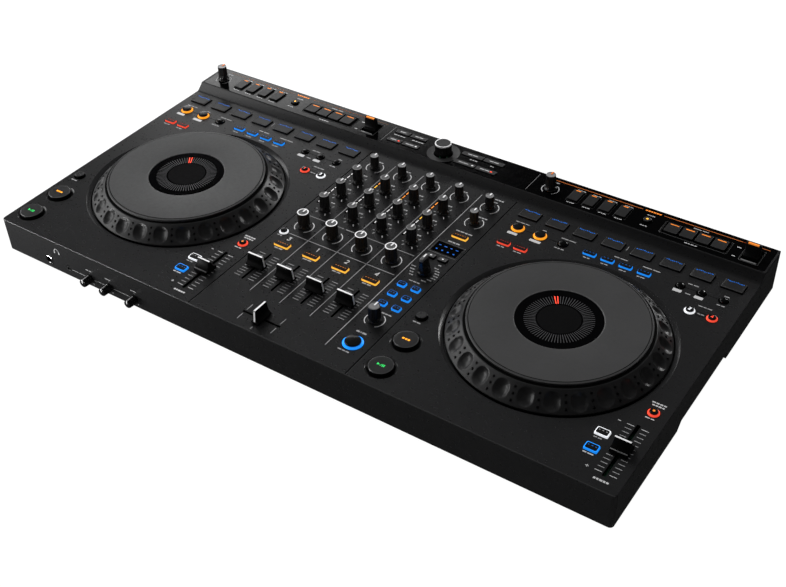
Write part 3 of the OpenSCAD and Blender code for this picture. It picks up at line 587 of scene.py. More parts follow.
def stroke(m, pts, w, mat, z=0.0, t=0.06, closed=False):
    """A printed line of even width along a polyline, mitred at its corners."""
    n = len(pts)
    lo, hi = [], []
    for i in range(n):
        a = pts[(i - 1) % n] if closed or i else pts[i]
        b = pts[(i + 1) % n] if closed or i < n - 1 else pts[i]
        p = pts[i]
        d0 = Vector((p[0] - a[0], p[1] - a[1]))
        d1 = Vector((b[0] - p[0], b[1] - p[1]))
        d0 = d0.normalized() if d0.length > 1e-9 else d1.normalized()
        d1 = d1.normalized() if d1.length > 1e-9 else d0
        t_ = (d0 + d1).normalized()
        nx, ny = -t_.y, t_.x
        k = w / 2 / max(0.4, abs(nx * -d1.y + ny * d1.x))
        lo.append((p[0] - nx * k, p[1] - ny * k))
        hi.append((p[0] + nx * k, p[1] + ny * k))
    v = []
    for i in range(n):
        v += [(*lo[i], z - 0.05), (*hi[i], z - 0.05), (*hi[i], z + t), (*lo[i], z + t)]
    f = []
    for i in range(n if closed else n - 1):
        a, b = i * 4, ((i + 1) % n) * 4
        f += [[a + 3, b + 3, b + 2, a + 2], [a, a + 1, b + 1, b], [a, b, b + 3, a + 3], [a + 1, a + 2, b + 2, b + 1]]
    if not closed:
        f += [[0, 3, 2, 1], [(n - 1) * 4 + k for k in (0, 1, 2, 3)]]
    m.add(v, f, mat, False)


def arc(m, x, y, r, a0, a1, w, mat, z=0.0, n=None):
    n = n or max(3, int(abs(a1 - a0) / 7))
    stroke(m, [(x + r * math.cos(math.radians(a0 + (a1 - a0) * i / n)), y + r * math.sin(math.radians(a0 + (a1 - a0) * i / n))) for i in range(n + 1)], w, mat, z)


def ring_line(m, pts, w, mat, z=0.0):
    stroke(m, pts, w, mat, z, closed=True)


def spoke(m, x, y, r0, r1, a, w, mat, z=0.0):
    c, s = math.cos(math.radians(a)), math.sin(math.radians(a))
    stroke(m, [(x + r0 * c, y + r0 * s), (x + r1 * c, y + r1 * s)], w, mat, z)


def dashes(m, x, y, widths, d, mat, gap=0.9, z=0.0):
    """A row of short bars, centred on x, where the real panel is lettered."""
    tot = sum(widths) + gap * (len(widths) - 1)
    p = x - tot / 2
    for w in widths:
        bar(m, p + w / 2, y, w, d, mat, z)
        p += w + gap


def frame_ring(m, x, y, w, d, r, wi, di, z):
    """A low raised frame round a group of controls: its sides and inner band painted near-black as shade, its thin
    lighter edge a painted highlight.
    """
    m.loft([rr(w, d, r, z - 0.1, x, y, 5), rr(w, d, r, z + 0.25, x, y, 5), rr(w - 0.6, d - 0.6, r, z + 0.5, x, y, 5), rr(wi + 0.9, di + 0.9, 1.2, z + 0.5, x, y, 5), rr(wi, di, 1.0, z + 0.2, x, y, 5), rr(wi, di, 1.0, z - 0.1, x, y, 5)],
           ["shade_black", "frame_edge_highlight", "shade_black", "shade_black", "shade_black"])


DIGITS = {"1": [[(-0.9, 1.6), (0.2, 2.6), (0.2, -2.6)]],
          "2": [[(-1.5, 1.7), (-0.9, 2.5), (0.8, 2.5), (1.5, 1.7), (1.4, 0.7), (-1.5, -2.5), (1.6, -2.5)]],
          "3": [[(-1.5, 2.5), (1.4, 2.5), (0.0, 0.5), (1.2, 0.2), (1.5, -1.0), (1.0, -2.2), (-0.6, -2.6), (-1.6, -1.9)]],
          "4": [[(0.9, -2.6), (0.9, 2.6), (-1.7, -1.2), (1.7, -1.2)]]}


def digit(m, ch, x, y, s, w, mat, z=0.0):
    for line in DIGITS[ch]:
        stroke(m, [(x + px * s, y + py * s) for px, py in line], w, mat, z)


def print_deck(m, cx):
    # label blocks and the lines that tie buttons together
    bar(m, cx - 111.3, 260.3, 11, 3.8, "label", r=0.8)
    bar(m, cx - 85.2, 260.3, 12.5, 3.8, "label", r=0.8)
    dashes(m, cx - 110.6, 281.0, [4.2, 4.8, 4.4], 1.1, "ink")
    dashes(m, cx - 85, 281.0, [4.2], 1.1, "ink")
    dashes(m, cx - 57, 279.6, [8.0, 7.2], 1.1, "ink")
    dashes(m, cx - 59, 262.3, [3, 2.4, 3.4], 1.3, "ink")
    for a, b in ((-102.2, -93.4), (-76.6, -65.2)):
        bar(m, cx + (a + b) / 2, 271, b - a, 0.6, "groove")
    for x in (66.6, 88.2):
        bar(m, cx + x, 263.4, 8.8, 4.2, "label", r=0.8)
    for a, b in ((71.8, 83), (93.4, 105)):
        bar(m, cx + (a + b) / 2, 271.5, b - a, 0.6, "groove")
    dashes(m, cx + 77.4, 263.6, [5.2], 1.2, "ink")
    dashes(m, cx + 110.2, 263.6, [3.2, 3.6], 1.3, "ink")
    dashes(m, cx - 110.5, 235, [4, 3.4], 1.3, "ink")
    dashes(m, cx - 91.5, 235, [3.2, 4.4], 1.3, "ink")
    dashes(m, cx + 0.5, 279.9, [5.5, 7.5], 1.2, "ink", 1.2)
    dashes(m, cx + 33, 279.9, [9.5, 7.5], 1.2, "ink", 1.2)
    dashes(m, cx - 29.3, 263.3, [3.6, 2.6], 1.3, "ink")
    dashes(m, cx - 9.8, 263.3, [3, 3.6], 1.3, "ink")
    dashes(m, cx + 9.6, 263.3, [4.2, 2.2], 1.3, "ink")
    dashes(m, cx + 29, 263.3, [3, 4.4], 1.3, "ink")
    dashes(m, cx + 77, 278.6, [4.6, 5.2], 1.2, "ink")
    dashes(m, cx + 110.4, 278.6, [5], 1.2, "ink")
    bar(m, cx - 1, 298, 0.5, 7, "ink")
    # deck select frame
    for yy in (244.6, 239.4):
        bar(m, cx + 99.5, yy, 12.0, 0.5, "groove")
    dashes(m, cx + 99.5, 253.2, [4, 3, 4.6], 1.2, "ink")
    dashes(m, cx + 99.5, 242, [2.8, 3.0], 1.2, "ink", 0.7)
    # left column
    dashes(m, cx - 118, 93, [3.4, 4], 1.3, "ink")
    # tempo section
    dashes(m, cx + 116.2, 113.8, [3.2, 2.6, 2.8, 2.4], 1.6, "ink_hi", 0.7)
    dashes(m, cx + 116.6, 110.6, [2.4, 2.0, 2.8, 2.0], 1.6, "ink_hi", 0.7)
    dashes(m, cx + 116.2, 93.9, [4.2, 3.2], 1.2, "ink_hi")
    for i in range(13):
        y = 18.5 + 5 * i
        for x in (106.0, 119.2):
            bar(m, cx + x, y, 6.6 if i in (0, 6, 12) else 6.0, 0.6, "ink_hi" if i in (0, 6, 12) else "ink")
    bar(m, cx + 95.8, 78.5, 2.8, 0.75, "ink_hi")
    bar(m, cx + 95.8, 18.5, 2.8, 0.75, "ink_hi")
    bar(m, cx + 95.8, 18.5, 0.75, 2.8, "ink_hi")
    dashes(m, cx + 89.2, 50.7, [3.2, 3.6], 1.0, "ink")
    dashes(m, cx + 90.3, 31.0, [3.4, 5.4], 1.2, "ink_hi")
    dashes(m, cx + 112.4, 9.9, [2.2, 2.0, 2.8, 2.2, 2.2], 2.0, "ink_hi", 0.6)


def print_mixer(m):
    for x in (-55.3, -18.9, 17.4):
        bar(m, x, 173.5, 0.75, 253, "line")
    bar(m, 53.8, 162.8, 0.75, 280.5, "ink")
    bar(m, -14.6, 140.3, 130.6, 0.8, "line")
    for a, b in ((-80, -36), (-19, 51)):
        bar(m, (a + b) / 2, 176, b - a, 0.7, "line")
    dashes(m, -28, 176, [10.4], 1.1, "ink")
    for i, x in enumerate(CH):
        y = 285.9
        arc(m, x, y, 9.7, -58, 64, 0.85, "ink_hi")
        arc(m, x, y, 9.7, 116, 238, 0.85, "ink_hi")
        dashes(m, x + 0.5, y + 11.6, [2.6, 2.6], 1.5, "ink", 0.6)
        for y in (253.5, 223.3, 193.7):
            spoke(m, x, y, 8.0, 11.6, -54, 1.0, "white")
            spoke(m, x, y, 7.9, 10.6, 234, 1.0, "ink")
            spoke(m, x, y, 8.0, 10.0, 198, 0.8, "ink")
            spoke(m, x, y, 8.0, 10.0, -18, 0.8, "ink")
            spoke(m, x, y, 8.0, 10.6, 58, 0.9, "ink")
            dashes(m, x + 0.6, y + 13.4, [2.0, 2.2], 1.7, "ink", 0.5)
        arc(m, x, 157.7, 10.2, -58, 70, 0.95, "label")
        arc(m, x, 157.7, 10.2, 110, 238, 0.95, "label")
        digit(m, "3124"[i], x, 132.7, 1.0, 0.85, "ink_hi")
        dashes(m, x, 114.3, [4.6, 4.6], 1.6, "ink", 1.0)
        for k in range(11):
            yy = 60 + 4 * k
            for dx in (-8.6, 9.0):
                bar(m, x + dx, yy, 7.2, 0.75, "faint" if k % 5 else "line")
    for x, y in ((72.7, 285.9), (72.7, 254.7)):
        arc(m, x, y, 9.9, -58, 64, 0.85, "ink_hi")
        arc(m, x, y, 9.9, 116, 238, 0.85, "ink_hi")
    dashes(m, 75, 303, [3.6, 3, 2.6], 1.9, "ink", 0.6)
    dashes(m, 73.2, 297.7, [2.2, 2], 1.4, "ink", 0.5)
    dashes(m, 76, 266.6, [3.4, 3, 3], 1.6, "ink", 0.6)
    dashes(m, 72.7, 235.1, [4.6, 4.2, 3.4, 4.4], 1.6, "ink", 0.8)
    dashes(m, 72.7, 215.2, [4.6, 3.2, 4.2], 1.9, "ink", 0.8)
    ring_line(m, [(57.2, 192.2), (88.6, 192.2), (88.6, 211.4), (57.2, 211.4)], 0.8, "line")
    dashes(m, 80.6, 176.2, [3.4], 1.2, "ink")
    for xx, yy, ws in ((58.6, 162.6, [2.6, 1.8]), (60.0, 158.2, [2.2, 2.4]), (61.8, 154.0, [1.8, 2.0]), (63.8, 150.0, [1.6, 2.2]), (80.5, 170.4, [2.6, 2.0]), (83.6, 166.8, [2.4, 2.4]), (85.4, 163.0, [2.8, 1.8]),
                       (86.2, 159.2, [2.4, 2.4]), (86.0, 155.2, [3.0, 1.8]), (84.0, 151.2, [2.0, 2.6]), (80.0, 147.4, [2.6, 2.2])):
        dashes(m, xx, yy, ws, 1.2, "ink", 0.5)
    dashes(m, 73, 142, [4, 3.6, 3], 1.3, "line", 0.8)
    arc(m, 72.8, 75, 9.9, -58, 64, 0.85, "ink_hi")
    arc(m, 72.8, 75, 9.9, 116, 238, 0.85, "ink_hi")
    dashes(m, 77.6, 87.4, [3.4, 3, 3.4], 1.5, "ink", 0.6)
    dashes(m, 72.4, 53.9, [3.8, 1.2, 4.6], 2.0, "ink", 0.8)
    dashes(m, 72.4, 25.2, [4.2, 3.2, 3.6], 1.4, "ink", 0.8)
    dashes(m, -86.5, 133, [2.6, 2.6], 1.2, "ink", 0.6)
    for x in (-39, 1.3):
        for y in (12.4, 27.2):
            bar(m, x, y, 0.8, 8.7, "line")
    dashes(m, -18.7, 4.6, [1.1], 3.4, "faint")
    for x in (-94.1, 92):
        # a thin lighter strip on one side of each seam: a painted highlight
        bar(m, x + 0.95, 156, 0.3, 309, "seam_edge_highlight")


def print_front(m):
    """Marks on the front wall, drawn flat and stood upright."""
    f = Mesh()
    for a, b in ((-258, -239.5), (-225.6, -212.4), (-198.6, -177)):
        bar(f, (a + b) / 2, FRONT_Z, b - a, 0.5, "ink")
    # headphone sign
    arc(f, -277.6, -12.6, 3.2, 0, 180, 0.7, "ink")
    for x in (-280.8, -274.4):
        bar(f, x, -14.0, 1.6, 3.0, "ink", r=0.6)
    for x, ws in ((-232.5, [3.6, 3.2]), (-205.5, [4.0, 2.2]), (-170, [3, 3.6])):
        dashes(f, x, -18.6, ws, 1.2, "ink", 0.8)
    for x in FRONT_K:
        for a in (-58, 238):
            spoke(f, x, FRONT_Z, 6.6, 8.2, a, 0.6, "ink")
    f.v = [(p[0], -p[2], p[1]) for p in f.v]
    f.f = [q for q in f.f]
    o = len(m.v)
    m.v += f.v
    m.f += [[o + k for k in q] for q in f.f]
    m.m += f.m
    m.s += f.s


marks = Mesh()
for s_ in (-1, 1):
    print_deck(marks, s_ * DX)
print_mixer(marks)
print_front(marks)
marks.build("panel_marks", "case", None, "deck_plastic", 0)


# ------------------------------------------------------------------ knobs
def lobed(rows, x, y, z, n, ribs, flare, sub=6):
    """Loops of a body of revolution whose surface is ribbed. rows are (r, z, rib depth, lobe depth)."""
    loops = []
    k = ribs * sub
    for r, h, rd, ld in rows:
        lp = []
        for j in range(k):
            a = 2 * PI * j / k
            u = (j % sub) / sub
            rr_ = r - rd * (0.5 - 0.5 * math.cos(2 * PI * u)) - ld * (0.5 - 0.5 * math.cos(n * a))
            lp.append((x + rr_ * math.cos(a), y + rr_ * math.sin(a), z + h))
        loops.append(lp)
    return loops


def strip(m, path, w, mat, x, y, z, ang=90.0, t=0.35):
    """A raised pointer that follows (r, z) points outwards and down, at one angle."""
    c, s = math.cos(math.radians(ang)), math.sin(math.radians(ang))
    v, n = [], len(path)
    for i, (r, h) in enumerate(path):
        a = path[max(i - 1, 0)]
        b = path[min(i + 1, n - 1)]
        dr, dz = b[0] - a[0], b[1] - a[1]
        q = math.hypot(dr, dz) or 1
        ir, iz = dz / q * t, -dr / q * t     # inwards
        for rr_, hh, sd in ((r, h, -1), (r, h, 1), (r + ir, h + iz, 1), (r + ir, h + iz, -1)):
            v.append((x + rr_ * c - sd * w / 2 * s, y + rr_ * s + sd * w / 2 * c, z + hh))
    f = []
    for i in range(n - 1):
        a, b = i * 4, i * 4 + 4
        f += [[a, a + 1, b + 1, b], [a + 1, a + 2, b + 2, b + 1], [a + 2, a + 3, b + 3, b + 2], [a + 3, a, b, b + 3]]
    f += [[3, 2, 1, 0], [(n - 1) * 4 + k for k in (0, 1, 2, 3)]]
    m.add(v, f, mat, False)


def knob(m, x, y, h, rt, rb, kind, z=0.0, depth=9.0, ang=90.0):
    ribs = {"eq": 20, "trim": 18, "colour": 24, "bar": 18, "depth": 24}[kind]
    rd = {"eq": 0.6, "trim": 0.5, "colour": 0.6, "bar": 0.5, "depth": 0.6}[kind]
    lob = {"eq": 0.75, "trim": 0.1, "colour": 0.5, "bar": 0.15, "depth": 0.5}[kind]
    nl = {"eq": 9, "trim": 9, "colour": 10, "bar": 9, "depth": 10}[kind]
    rows = [(3.0, -depth, 0, 0), (3.0, 0.9, 0, 0), (rb - 0.5, 0.9, 0, lob * 0.6), (rb, 1.3, 0, lob), (rb, 2.0, 0, lob), (rb - 0.5, 2.7, 0, lob * 0.8),
            (rt + 0.45, 3.5, rd * 0.4, lob * 0.3), (rt + 0.2, 4.8, rd, 0), (rt + 0.1, h * 0.55, rd, 0), (rt - 0.05, h - 1.3, rd, 0), (rt - 0.1, h - 0.5, rd * 0.7, 0), (rt - 0.2, h - 0.15, 0.1, 0)]
    loops = lobed(rows, x, y, z, nl, ribs, 0)
    # the foot's lip band is a lighter painted highlight; the ribbed band is painted lighter than the body as rib sheen
    ms = ["knob"] * 3 + ["knob_lip", "knob", "knob", "knob"] + ["knob_rib_sheen"] * 3 + ["knob"]
    k = ribs * 6

    def circ(r, hh):
        return [(x + r * math.cos(2 * PI * j / k), y + r * math.sin(2 * PI * j / k), z + hh) for j in range(k)]
    if kind in ("eq", "trim", "bar"):
        top = "knob_top" if kind != "bar" else "knob_top_pale"
        loops += [circ(rt - 0.2, h - 0.02), circ(rt - 1.0, h), circ(rt - 1.3, h - 0.25), circ(0.5, h - 0.25)]
        ms += [top, top, top, "knob_top_dark" if kind == "eq" else top]
        cap = top
    elif kind == "colour":
        loops += [circ(rt - 0.1, h - 0.05), circ(rt - 0.3, h), circ(rt - 1.35, h), circ(rt - 1.5, h - 0.35), circ(0.6, h - 0.35)]
        ms += ["white", "white", "white", "knob", "knob_top_dark"]
        cap = "knob_top_dark"
    else:
        loops += [circ(rt - 0.2, h - 0.02), circ(rt - 1.1, h), circ(rt - 1.4, h - 0.3), circ(0.6, h - 0.3)]
        ms += ["knob_top_dark", "knob_top_dark", "knob", "knob_top"]
        cap = "knob_top"
    m.loft(loops, ms, "knob", cap)
    pm = "orange_ink" if kind == "bar" else "white"
    hh = h + 0.02
    hh += 0.22
    strip(m, [(0.5, hh), (rt - 0.05, hh), (rt + 0.2, hh - 0.3), (rt + 0.35, h - 3.6)], 1.5, pm, x, y, z, ang, 0.8)


M["knob_top_pale"] = plastic("knob_top_pale", (0.2, 0.2, 0.203), 0.35, 0.5, vary=0.06)
for i, x in enumerate(CH):
    for row, (y, h, rt, rb) in ROWS.items():
        m = Mesh()
        knob(m, x, y, h, rt, rb, {"trim": "trim", "colour": "colour"}.get(row, "eq"))
        n = "%s_knob_%d" % (row, i + 1)
        m.build(n + "_cap", n, n, "knob_plastic")
for n, x, y, h, rt, rb, kind in (("master_knob", 72.7, 285.9, 16, 4.6, 5.6, "trim"), ("booth_knob", 72.7, 254.7, 16, 4.6, 5.6, "trim"), ("fx_depth_knob", 72.8, 75, 17.6, 6.1, 7, "depth")):
    m = Mesh()
    knob(m, x, y, h, rt, rb, kind)
    m.build(n + "_cap", n, n, "knob_plastic")
for n, s_ in (("left", -1), ("right", 1)):
    m = Mesh()
    knob(m, s_ * DX - 110.6, 339.5, 18.5, 5.3, 6.7, "bar", BAR_Z, 8)
    m.build("bar_knob_%s_cap" % n, "bar_knob_" + n, "bar_knob_" + n, "knob_plastic")

# selector with a fin
m = Mesh()
X, Y = 73.5, 158.8
m.loft(lobed([(3, -9, 0, 0), (3, 0.9, 0, 0), (7.3, 0.9, 0, 0.3), (7.6, 1.3, 0, 0.3), (7.6, 2.8, 0, 0.3), (7.0, 4.0, 0, 0.1), (6.5, 4.5, 0, 0), (2.0, 5.2, 0, 0)], X, Y, 0, 12, 20, 0), "knob", "knob", "knob")
fin = []
for z, wx, wy, bev in ((4.4, 3.7, 6.4, 1.0), (7, 3.2, 6.3, 1.0), (12, 2.5, 6.05, 0.9), (17, 2.0, 5.75, 0.8), (19.2, 1.8, 5.5, 0.7), (19.8, 1.5, 5.2, 0.6), (20, 1.0, 4.7, 0.5)):
    fin.append(rr(2 * wx, 2 * wy, min(bev, wx * 0.9), z, X, Y, 5))
m.loft(fin, ["knob"] * 3 + ["knob_top"] * 3, "knob", "knob_top_dark")
m.loft([rr(1.3, 5.6, 0.4, 19.7, X, Y + 2.3, 4), rr(1.3, 5.6, 0.4, 20.05, X, Y + 2.3, 4)], "white", "white", "white")
strip(m, [(5.0, 20.0), (5.5, 19.6), (5.85, 16.8)], 1.3, "white", X, Y, 0, 90, 0.5)
m.build("fx_select_knob_cap", "fx_select_knob", "fx_select_knob", "knob_plastic")

# browse encoder: dished skirt on the plate, knurled drum, bright ring
X, Y = -18.7, 340.5
m = Mesh()
rows = [(3, -8, 0, 0), (3, 0.1, 0, 0), (9.0, 0.1, 0, 0), (9.3, 0.6, 0.3, 0), (9.35, 2.0, 0.5, 0), (9.3, 10.3, 0.5, 0), (9.3, 11.0, 0.2, 0)]
loops = lobed(rows, X, Y, BAR_Z, 1, 34, 0, 4)
k = 34 * 4
ms = ["knob"] * 6
for r, h, mt in ((9.3, 11.4, "knob"), (9.25, 12.3, "white"), (8.95, 12.8, "white"), (8.1, 12.75, "white"), (7.95, 12.2, "knob"), (5.0, 12.1, "browse_key"), (0.7, 12.15, "browse_key")):
    loops.append([(X + r * math.cos(2 * PI * j / k), Y + r * math.sin(2 * PI * j / k), BAR_Z + h) for j in range(k)])
    ms.append(mt)
m.loft(loops, ms, "knob", "browse_key")
m.build("browse_knob_drum", "browse_knob", "browse_knob", "knob_plastic")

# front knobs
for i, X in enumerate(FRONT_K):
    s = Mesh()
    loops = lobed([(3, -9, 0, 0), (3, 0.6, 0, 0), (4.6, 0.6, 0, 0), (5.0, 1.0, 0.2, 0), (4.9, 2.2, 0.45, 0), (4.7, 6, 0.45, 0), (4.5, 10.0, 0.45, 0), (4.2, 10.7, 0.15, 0), (3.8, 10.95, 0, 0), (1.0, 11.0, 0, 0)], 0, 0, 0, 1, 16, 0, 6)
    s.loft(loops, "knob", "knob", "knob")
    strip(s, [(0.9, 11.03), (4.0, 11.03), (4.6, 10.6), (5.0, 2.0)], 1.0, "white", 0, 0, 0, 90, 0.5)
    moved(s, to_front(X, FRONT_Z))
    n = "front_knob_%d" % (i + 1)
    s.build(n + "_cap", n, n, "knob_plastic")


# ------------------------------------------------------------------ faders
def blade(m, w0, w1, d0, d1, h, stem, swap=False):
    """A fader cap: wide foot, concave flanks, thin ridge with a white line printed along it; the white carried down
    both ends is a painted highlight.
    """
    def P(a, b, z):
        return (-b, a, z) if swap else (a, b, z)
    prof = []
    hd = [(d0 / 2 - 0.3, 1.0), (d0 / 2, 1.35), (d0 / 2, 2.5), (d0 / 2 - 0.7, 3.3), (d0 / 2 - 1.9, 4.3), (d1 / 2 + 0.75, 5.6), (d1 / 2 + 0.35, 7.6), (d1 / 2 + 0.1, 10.2), (d1 / 2, h - 0.5), (d1 / 2 - 0.25, h)]
    loops = []
    for d, z in hd:
        t = max(0.0, (z - 2.6) / (h - 2.6))
        w = w0 + (w1 - w0) * t - (0.5 if z in (1.0, h) else 0)
        r = min(0.6, d * 0.8)
        lp = rr(w, 2 * d, r, z, 0, 0, 3)
        loops.append([P(p[0], p[1], p[2]) for p in lp])
    m.loft(loops, "fader", "fader", "fader")
    # white line: print along the ridge, painted highlight down both ends
    lw = 0.95
    for yy in (0.0,):
        a, b = w1 / 2 + 0.04, w0 / 2 + 0.04
        path = [(-b, 3.2), (-a, h - 0.4), (-a + 0.5, h + 0.04), (a - 0.5, h + 0.04), (a, h - 0.4), (b, 3.2)]
        v = []
        n = len(path)
        for i, (px, pz) in enumerate(path):
            q = path[max(i - 1, 0)]
            s = path[min(i + 1, n - 1)]
            tx, tz = s[0] - q[0], s[1] - q[1]
            L = math.hypot(tx, tz)
            nx, nz = tz / L * 0.5, -tx / L * 0.5
            v += [P(px, -lw, pz), P(px, lw, pz), P(px + nx, lw, pz + nz), P(px + nx, -lw, pz + nz)]
        f = []
        for i in range(n - 1):
            a_, b_ = i * 4, i * 4 + 4
            f += [[a_, b_, b_ + 1, a_ + 1], [a_ + 1, b_ + 1, b_ + 2, a_ + 2], [a_ + 2, b_ + 2, b_ + 3, a_ + 3], [a_ + 3, b_ + 3, b_, a_]]
        f += [[0, 1, 2, 3], [(n - 1) * 4 + k for k in (3, 2, 1, 0)]]
        m.add(v, f, "white", False)
    c = [P(p[0], p[1], p[2]) for p in rr(1.2, stem, 0.3, -15, 0, 0, 2)]
    d = [P(p[0], p[1], p[2]) for p in rr(1.2, stem, 0.3, 1.2, 0, 0, 2)]
    m.loft([c, d], "steel", "steel", "steel")


def shift(m, x, y):
    m.v = [(p[0] + x, p[1] + y, p[2]) for p in m.v]
    return m


for i, x in enumerate(CH):
    m = Mesh()
    blade(m, 21, 18.3, 9.6, 2.6, 14.3, 4.8)
    n = "channel_fader_%d" % (i + 1)
    shift(m, x, 80).build(n + "_cap", n, n, "fader_plastic")
m = Mesh()
blade(m, 20, 17, 9.6, 2.6, 15.5, 4.0, True)
shift(m, -18.7, 19.8).build("crossfader_cap", "crossfader", "crossfader", "fader_plastic")

for n, s_ in (("left", -1), ("right", 1)):
    m = Mesh()
    prof = [(-7.6, 1.0), (-8.0, 1.5), (-8.0, 3.4), (-7.7, 4.0), (-6.2, 4.5), (-4.7, 5.5), (-3.4, 7.2), (-2.3, 9.6), (-1.75, 12.5), (-1.45, 13.0), (1.45, 13.0), (1.75, 12.5), (2.3, 9.6), (3.4, 7.2), (4.7, 5.5), (6.2, 4.5), (7.7, 4.0), (8.0, 3.4), (8.0, 1.5), (7.6, 1.0)]
    xs = [(-1, 0.55), (-0.96, 0.2), (-0.9, 0.0), (0.9, 0.0), (0.96, 0.2), (1, 0.55)]
    loops = []
    for t, inset in xs:
        lp = []
        for y, z in prof:
            half = 8.35 if z < 4 else 8.35 - 1.05 * (z - 4) / 9
            yy = y - math.copysign(min(inset, abs(y)), y)
            zz = z - (inset if z > 12 else 0) + (inset * 0.6 if z < 1.2 else 0)
            lp.append((t * half, yy, zz))
        loops.append(lp)
    m.loft(loops, "fader", "fader", "fader")
    m.loft([rr(14.9, 1.6, 0.3, 12.8, 0, 0, 2), rr(14.9, 1.6, 0.3, 13.05, 0, 0, 2)], "white", "white", "white")
    m.loft([rr(15.6, 0.9, 0.2, 4.1, 0, -6.9, 2), rr(15.6, 0.9, 0.2, 4.62, 0, -6.75, 2)], "ledge", "ledge", "ledge")
    m.loft([rr(1.8, 5, 0.3, -15, 0, 0, 2), rr(1.8, 5, 0.3, 1.4, 0, 0, 2)], "steel", "steel", "steel")
    shift(m, s_ * DX + 112.3, 48.5).build("tempo_slider_%s_cap" % n, "tempo_slider_" + n, "tempo_slider_" + n, "fader_plastic")


# ------------------------------------------------------------------ buttons
def lit_key(m, x, y, w, d, lamp, z=0.0, h=1.5, cap="cap", stem=3.6, dim=None, rim=0.0):
    """A translucent cap with round corners that glows round its sides, under a black top."""
    q = "dim_" + lamp
    m.loft([rr(w + 2, d + 2, 0.8, z - stem - 1, x, y, 4), rr(w + 2, d + 2, 0.8, z - stem, x, y, 4), rr(w, d, 1.7, z - stem, x, y, 4), rr(w, d, 1.7, z + 0.1, x, y, 4), rr(w - 0.12, d - 0.12, 1.7, z + 0.6, x, y, 4),
            rr(w - 0.5, d - 0.5, 1.6, z + h - 0.35, x, y, 4), rr(w - 0.8, d - 0.8, 1.5, z + h - 0.18, x, y, 4), rr(w - 1.3 - rim, d - 1.3 - rim, 1.4, z + h - 0.14, x, y, 4)],
           ["cap", "cap", lamp, lamp, lamp, q, lamp if rim > 0.5 else q if rim else cap], "cap")
    m.loft([rr(w - 1.3 - rim, d - 1.3 - rim, 1.4, z + h - 0.14, x, y, 4), rr(w - 1.45 - rim, d - 1.45 - rim, 1.3, z + h, x, y, 4), rr(w - 1.8 - rim, d - 1.8 - rim, 1.1, z + h + 0.04, x, y, 4), rr(w - 3.0 - rim, d - 2.8 - rim, 0.7, z + h, x, y, 4)],
           [cap, cap, cap], None, cap)
    if dim:
        k = max(2, int(w / 3.4))
        for i in range(k):
            xx = x - w / 2 + 3.0 + (w - 6.0) * i / (k - 1)
            ww = (1.2, 1.7, 1.4, 1.8)[i % 4]
            yy = y + (0.9 if k > 2 else 0.3)
            m.loft([rr(ww, 0.7, 0.15, z + h - 0.12, xx, yy, 1), rr(ww, 0.7, 0.15, z + h + 0.07, xx, yy, 1)], dim, dim, dim)


def plain_key(m, x, y, w, d, mat="cap", z=0.0, h=2.0, stem=3.6, dish=0.12, edge=None, side=None):
    e, q = edge or mat, side or mat
    g = 2.0 if z < 4 else -0.4
    m.loft([rr(w + g, d + g, 0.8, z - stem - 1, x, y, 3), rr(w + g, d + g, 0.8, z - stem, x, y, 3), rr(w, d, 0.9, z - stem, x, y, 3), rr(w, d, 0.9, z + h - 0.35, x, y, 3),
            rr(w - 0.2, d - 0.2, 0.8, z + h - 0.1, x, y, 3), rr(w - 0.6, d - 0.6, 0.7, z + h, x, y, 3), rr(w - 1.2, d - 1.2, 0.6, z + h - dish, x, y, 3)], [q, q, q, q, e, mat], q, mat)


def round_key(m, x, y, rs, rt, h, lamp, cap="cap_gloss", z=0.0, stem=3.6, n=48, dome=0.25):
    if lamp:
        ri, q = rs * (0.78 if rs > 6 else 0.71), "dim_" + lamp
        e = h * 0.5
        prof = [(rs + 1.2, -stem - 1), (rs + 1.2, -stem), (rs, -stem), (rs, -0.3), (rs - 0.1, 0.3), (ri + 0.5, e), (ri + 0.25, e + 0.1), (ri, e + 0.1)]
        m.lathe(prof, ["cap", "cap", "cap", lamp, lamp, q, q], x, y, z, n, 0, "cap")
        prof = [(ri, e + 0.1), (ri - 0.05, h - 0.3), (ri - 0.25, h - 0.05), (ri - 0.6, h + 0.05), (ri * 0.5, h + dome * 0.75), (0.3, h + dome)]
        m.lathe(prof, cap, x, y, z, n, 0, None, cap)
    elif cap == "black_dome":
        q = rs - 0.6
        m.lathe([(rs + 1.2, -stem - 1), (rs + 1.2, -stem), (q, -stem), (q, 0.7), (q - 0.2, 1.2), (q - 0.7, 1.75), (q - 1.5, 2.15), (q * 0.35, 2.45), (0.3, 2.5)], cap, x, y, z, n, 0, cap, cap)
    else:
        cap = "plain_cap" if cap == "cap_gloss" else cap
        q = rs - 0.75
        g = 1.2 if z < 4 else -0.9
        prof = [(rs + g, -stem - 1), (rs + g, -stem), (q, -stem), (q, h - 0.6), (q - 0.12, h - 0.3), (q - 0.4, h - 0.08), (q - 0.8, h), (q * 0.5, h - dome * 0.5), (0.3, h - dome * 0.6)]
        # the side is painted near-black as shade and the lighter lip is a painted highlight
        m.lathe(prof, ["shade_black"] * 4 + ["cap_rim_highlight", cap, cap, cap], x, y, z, n, 0, "shade_black", cap)


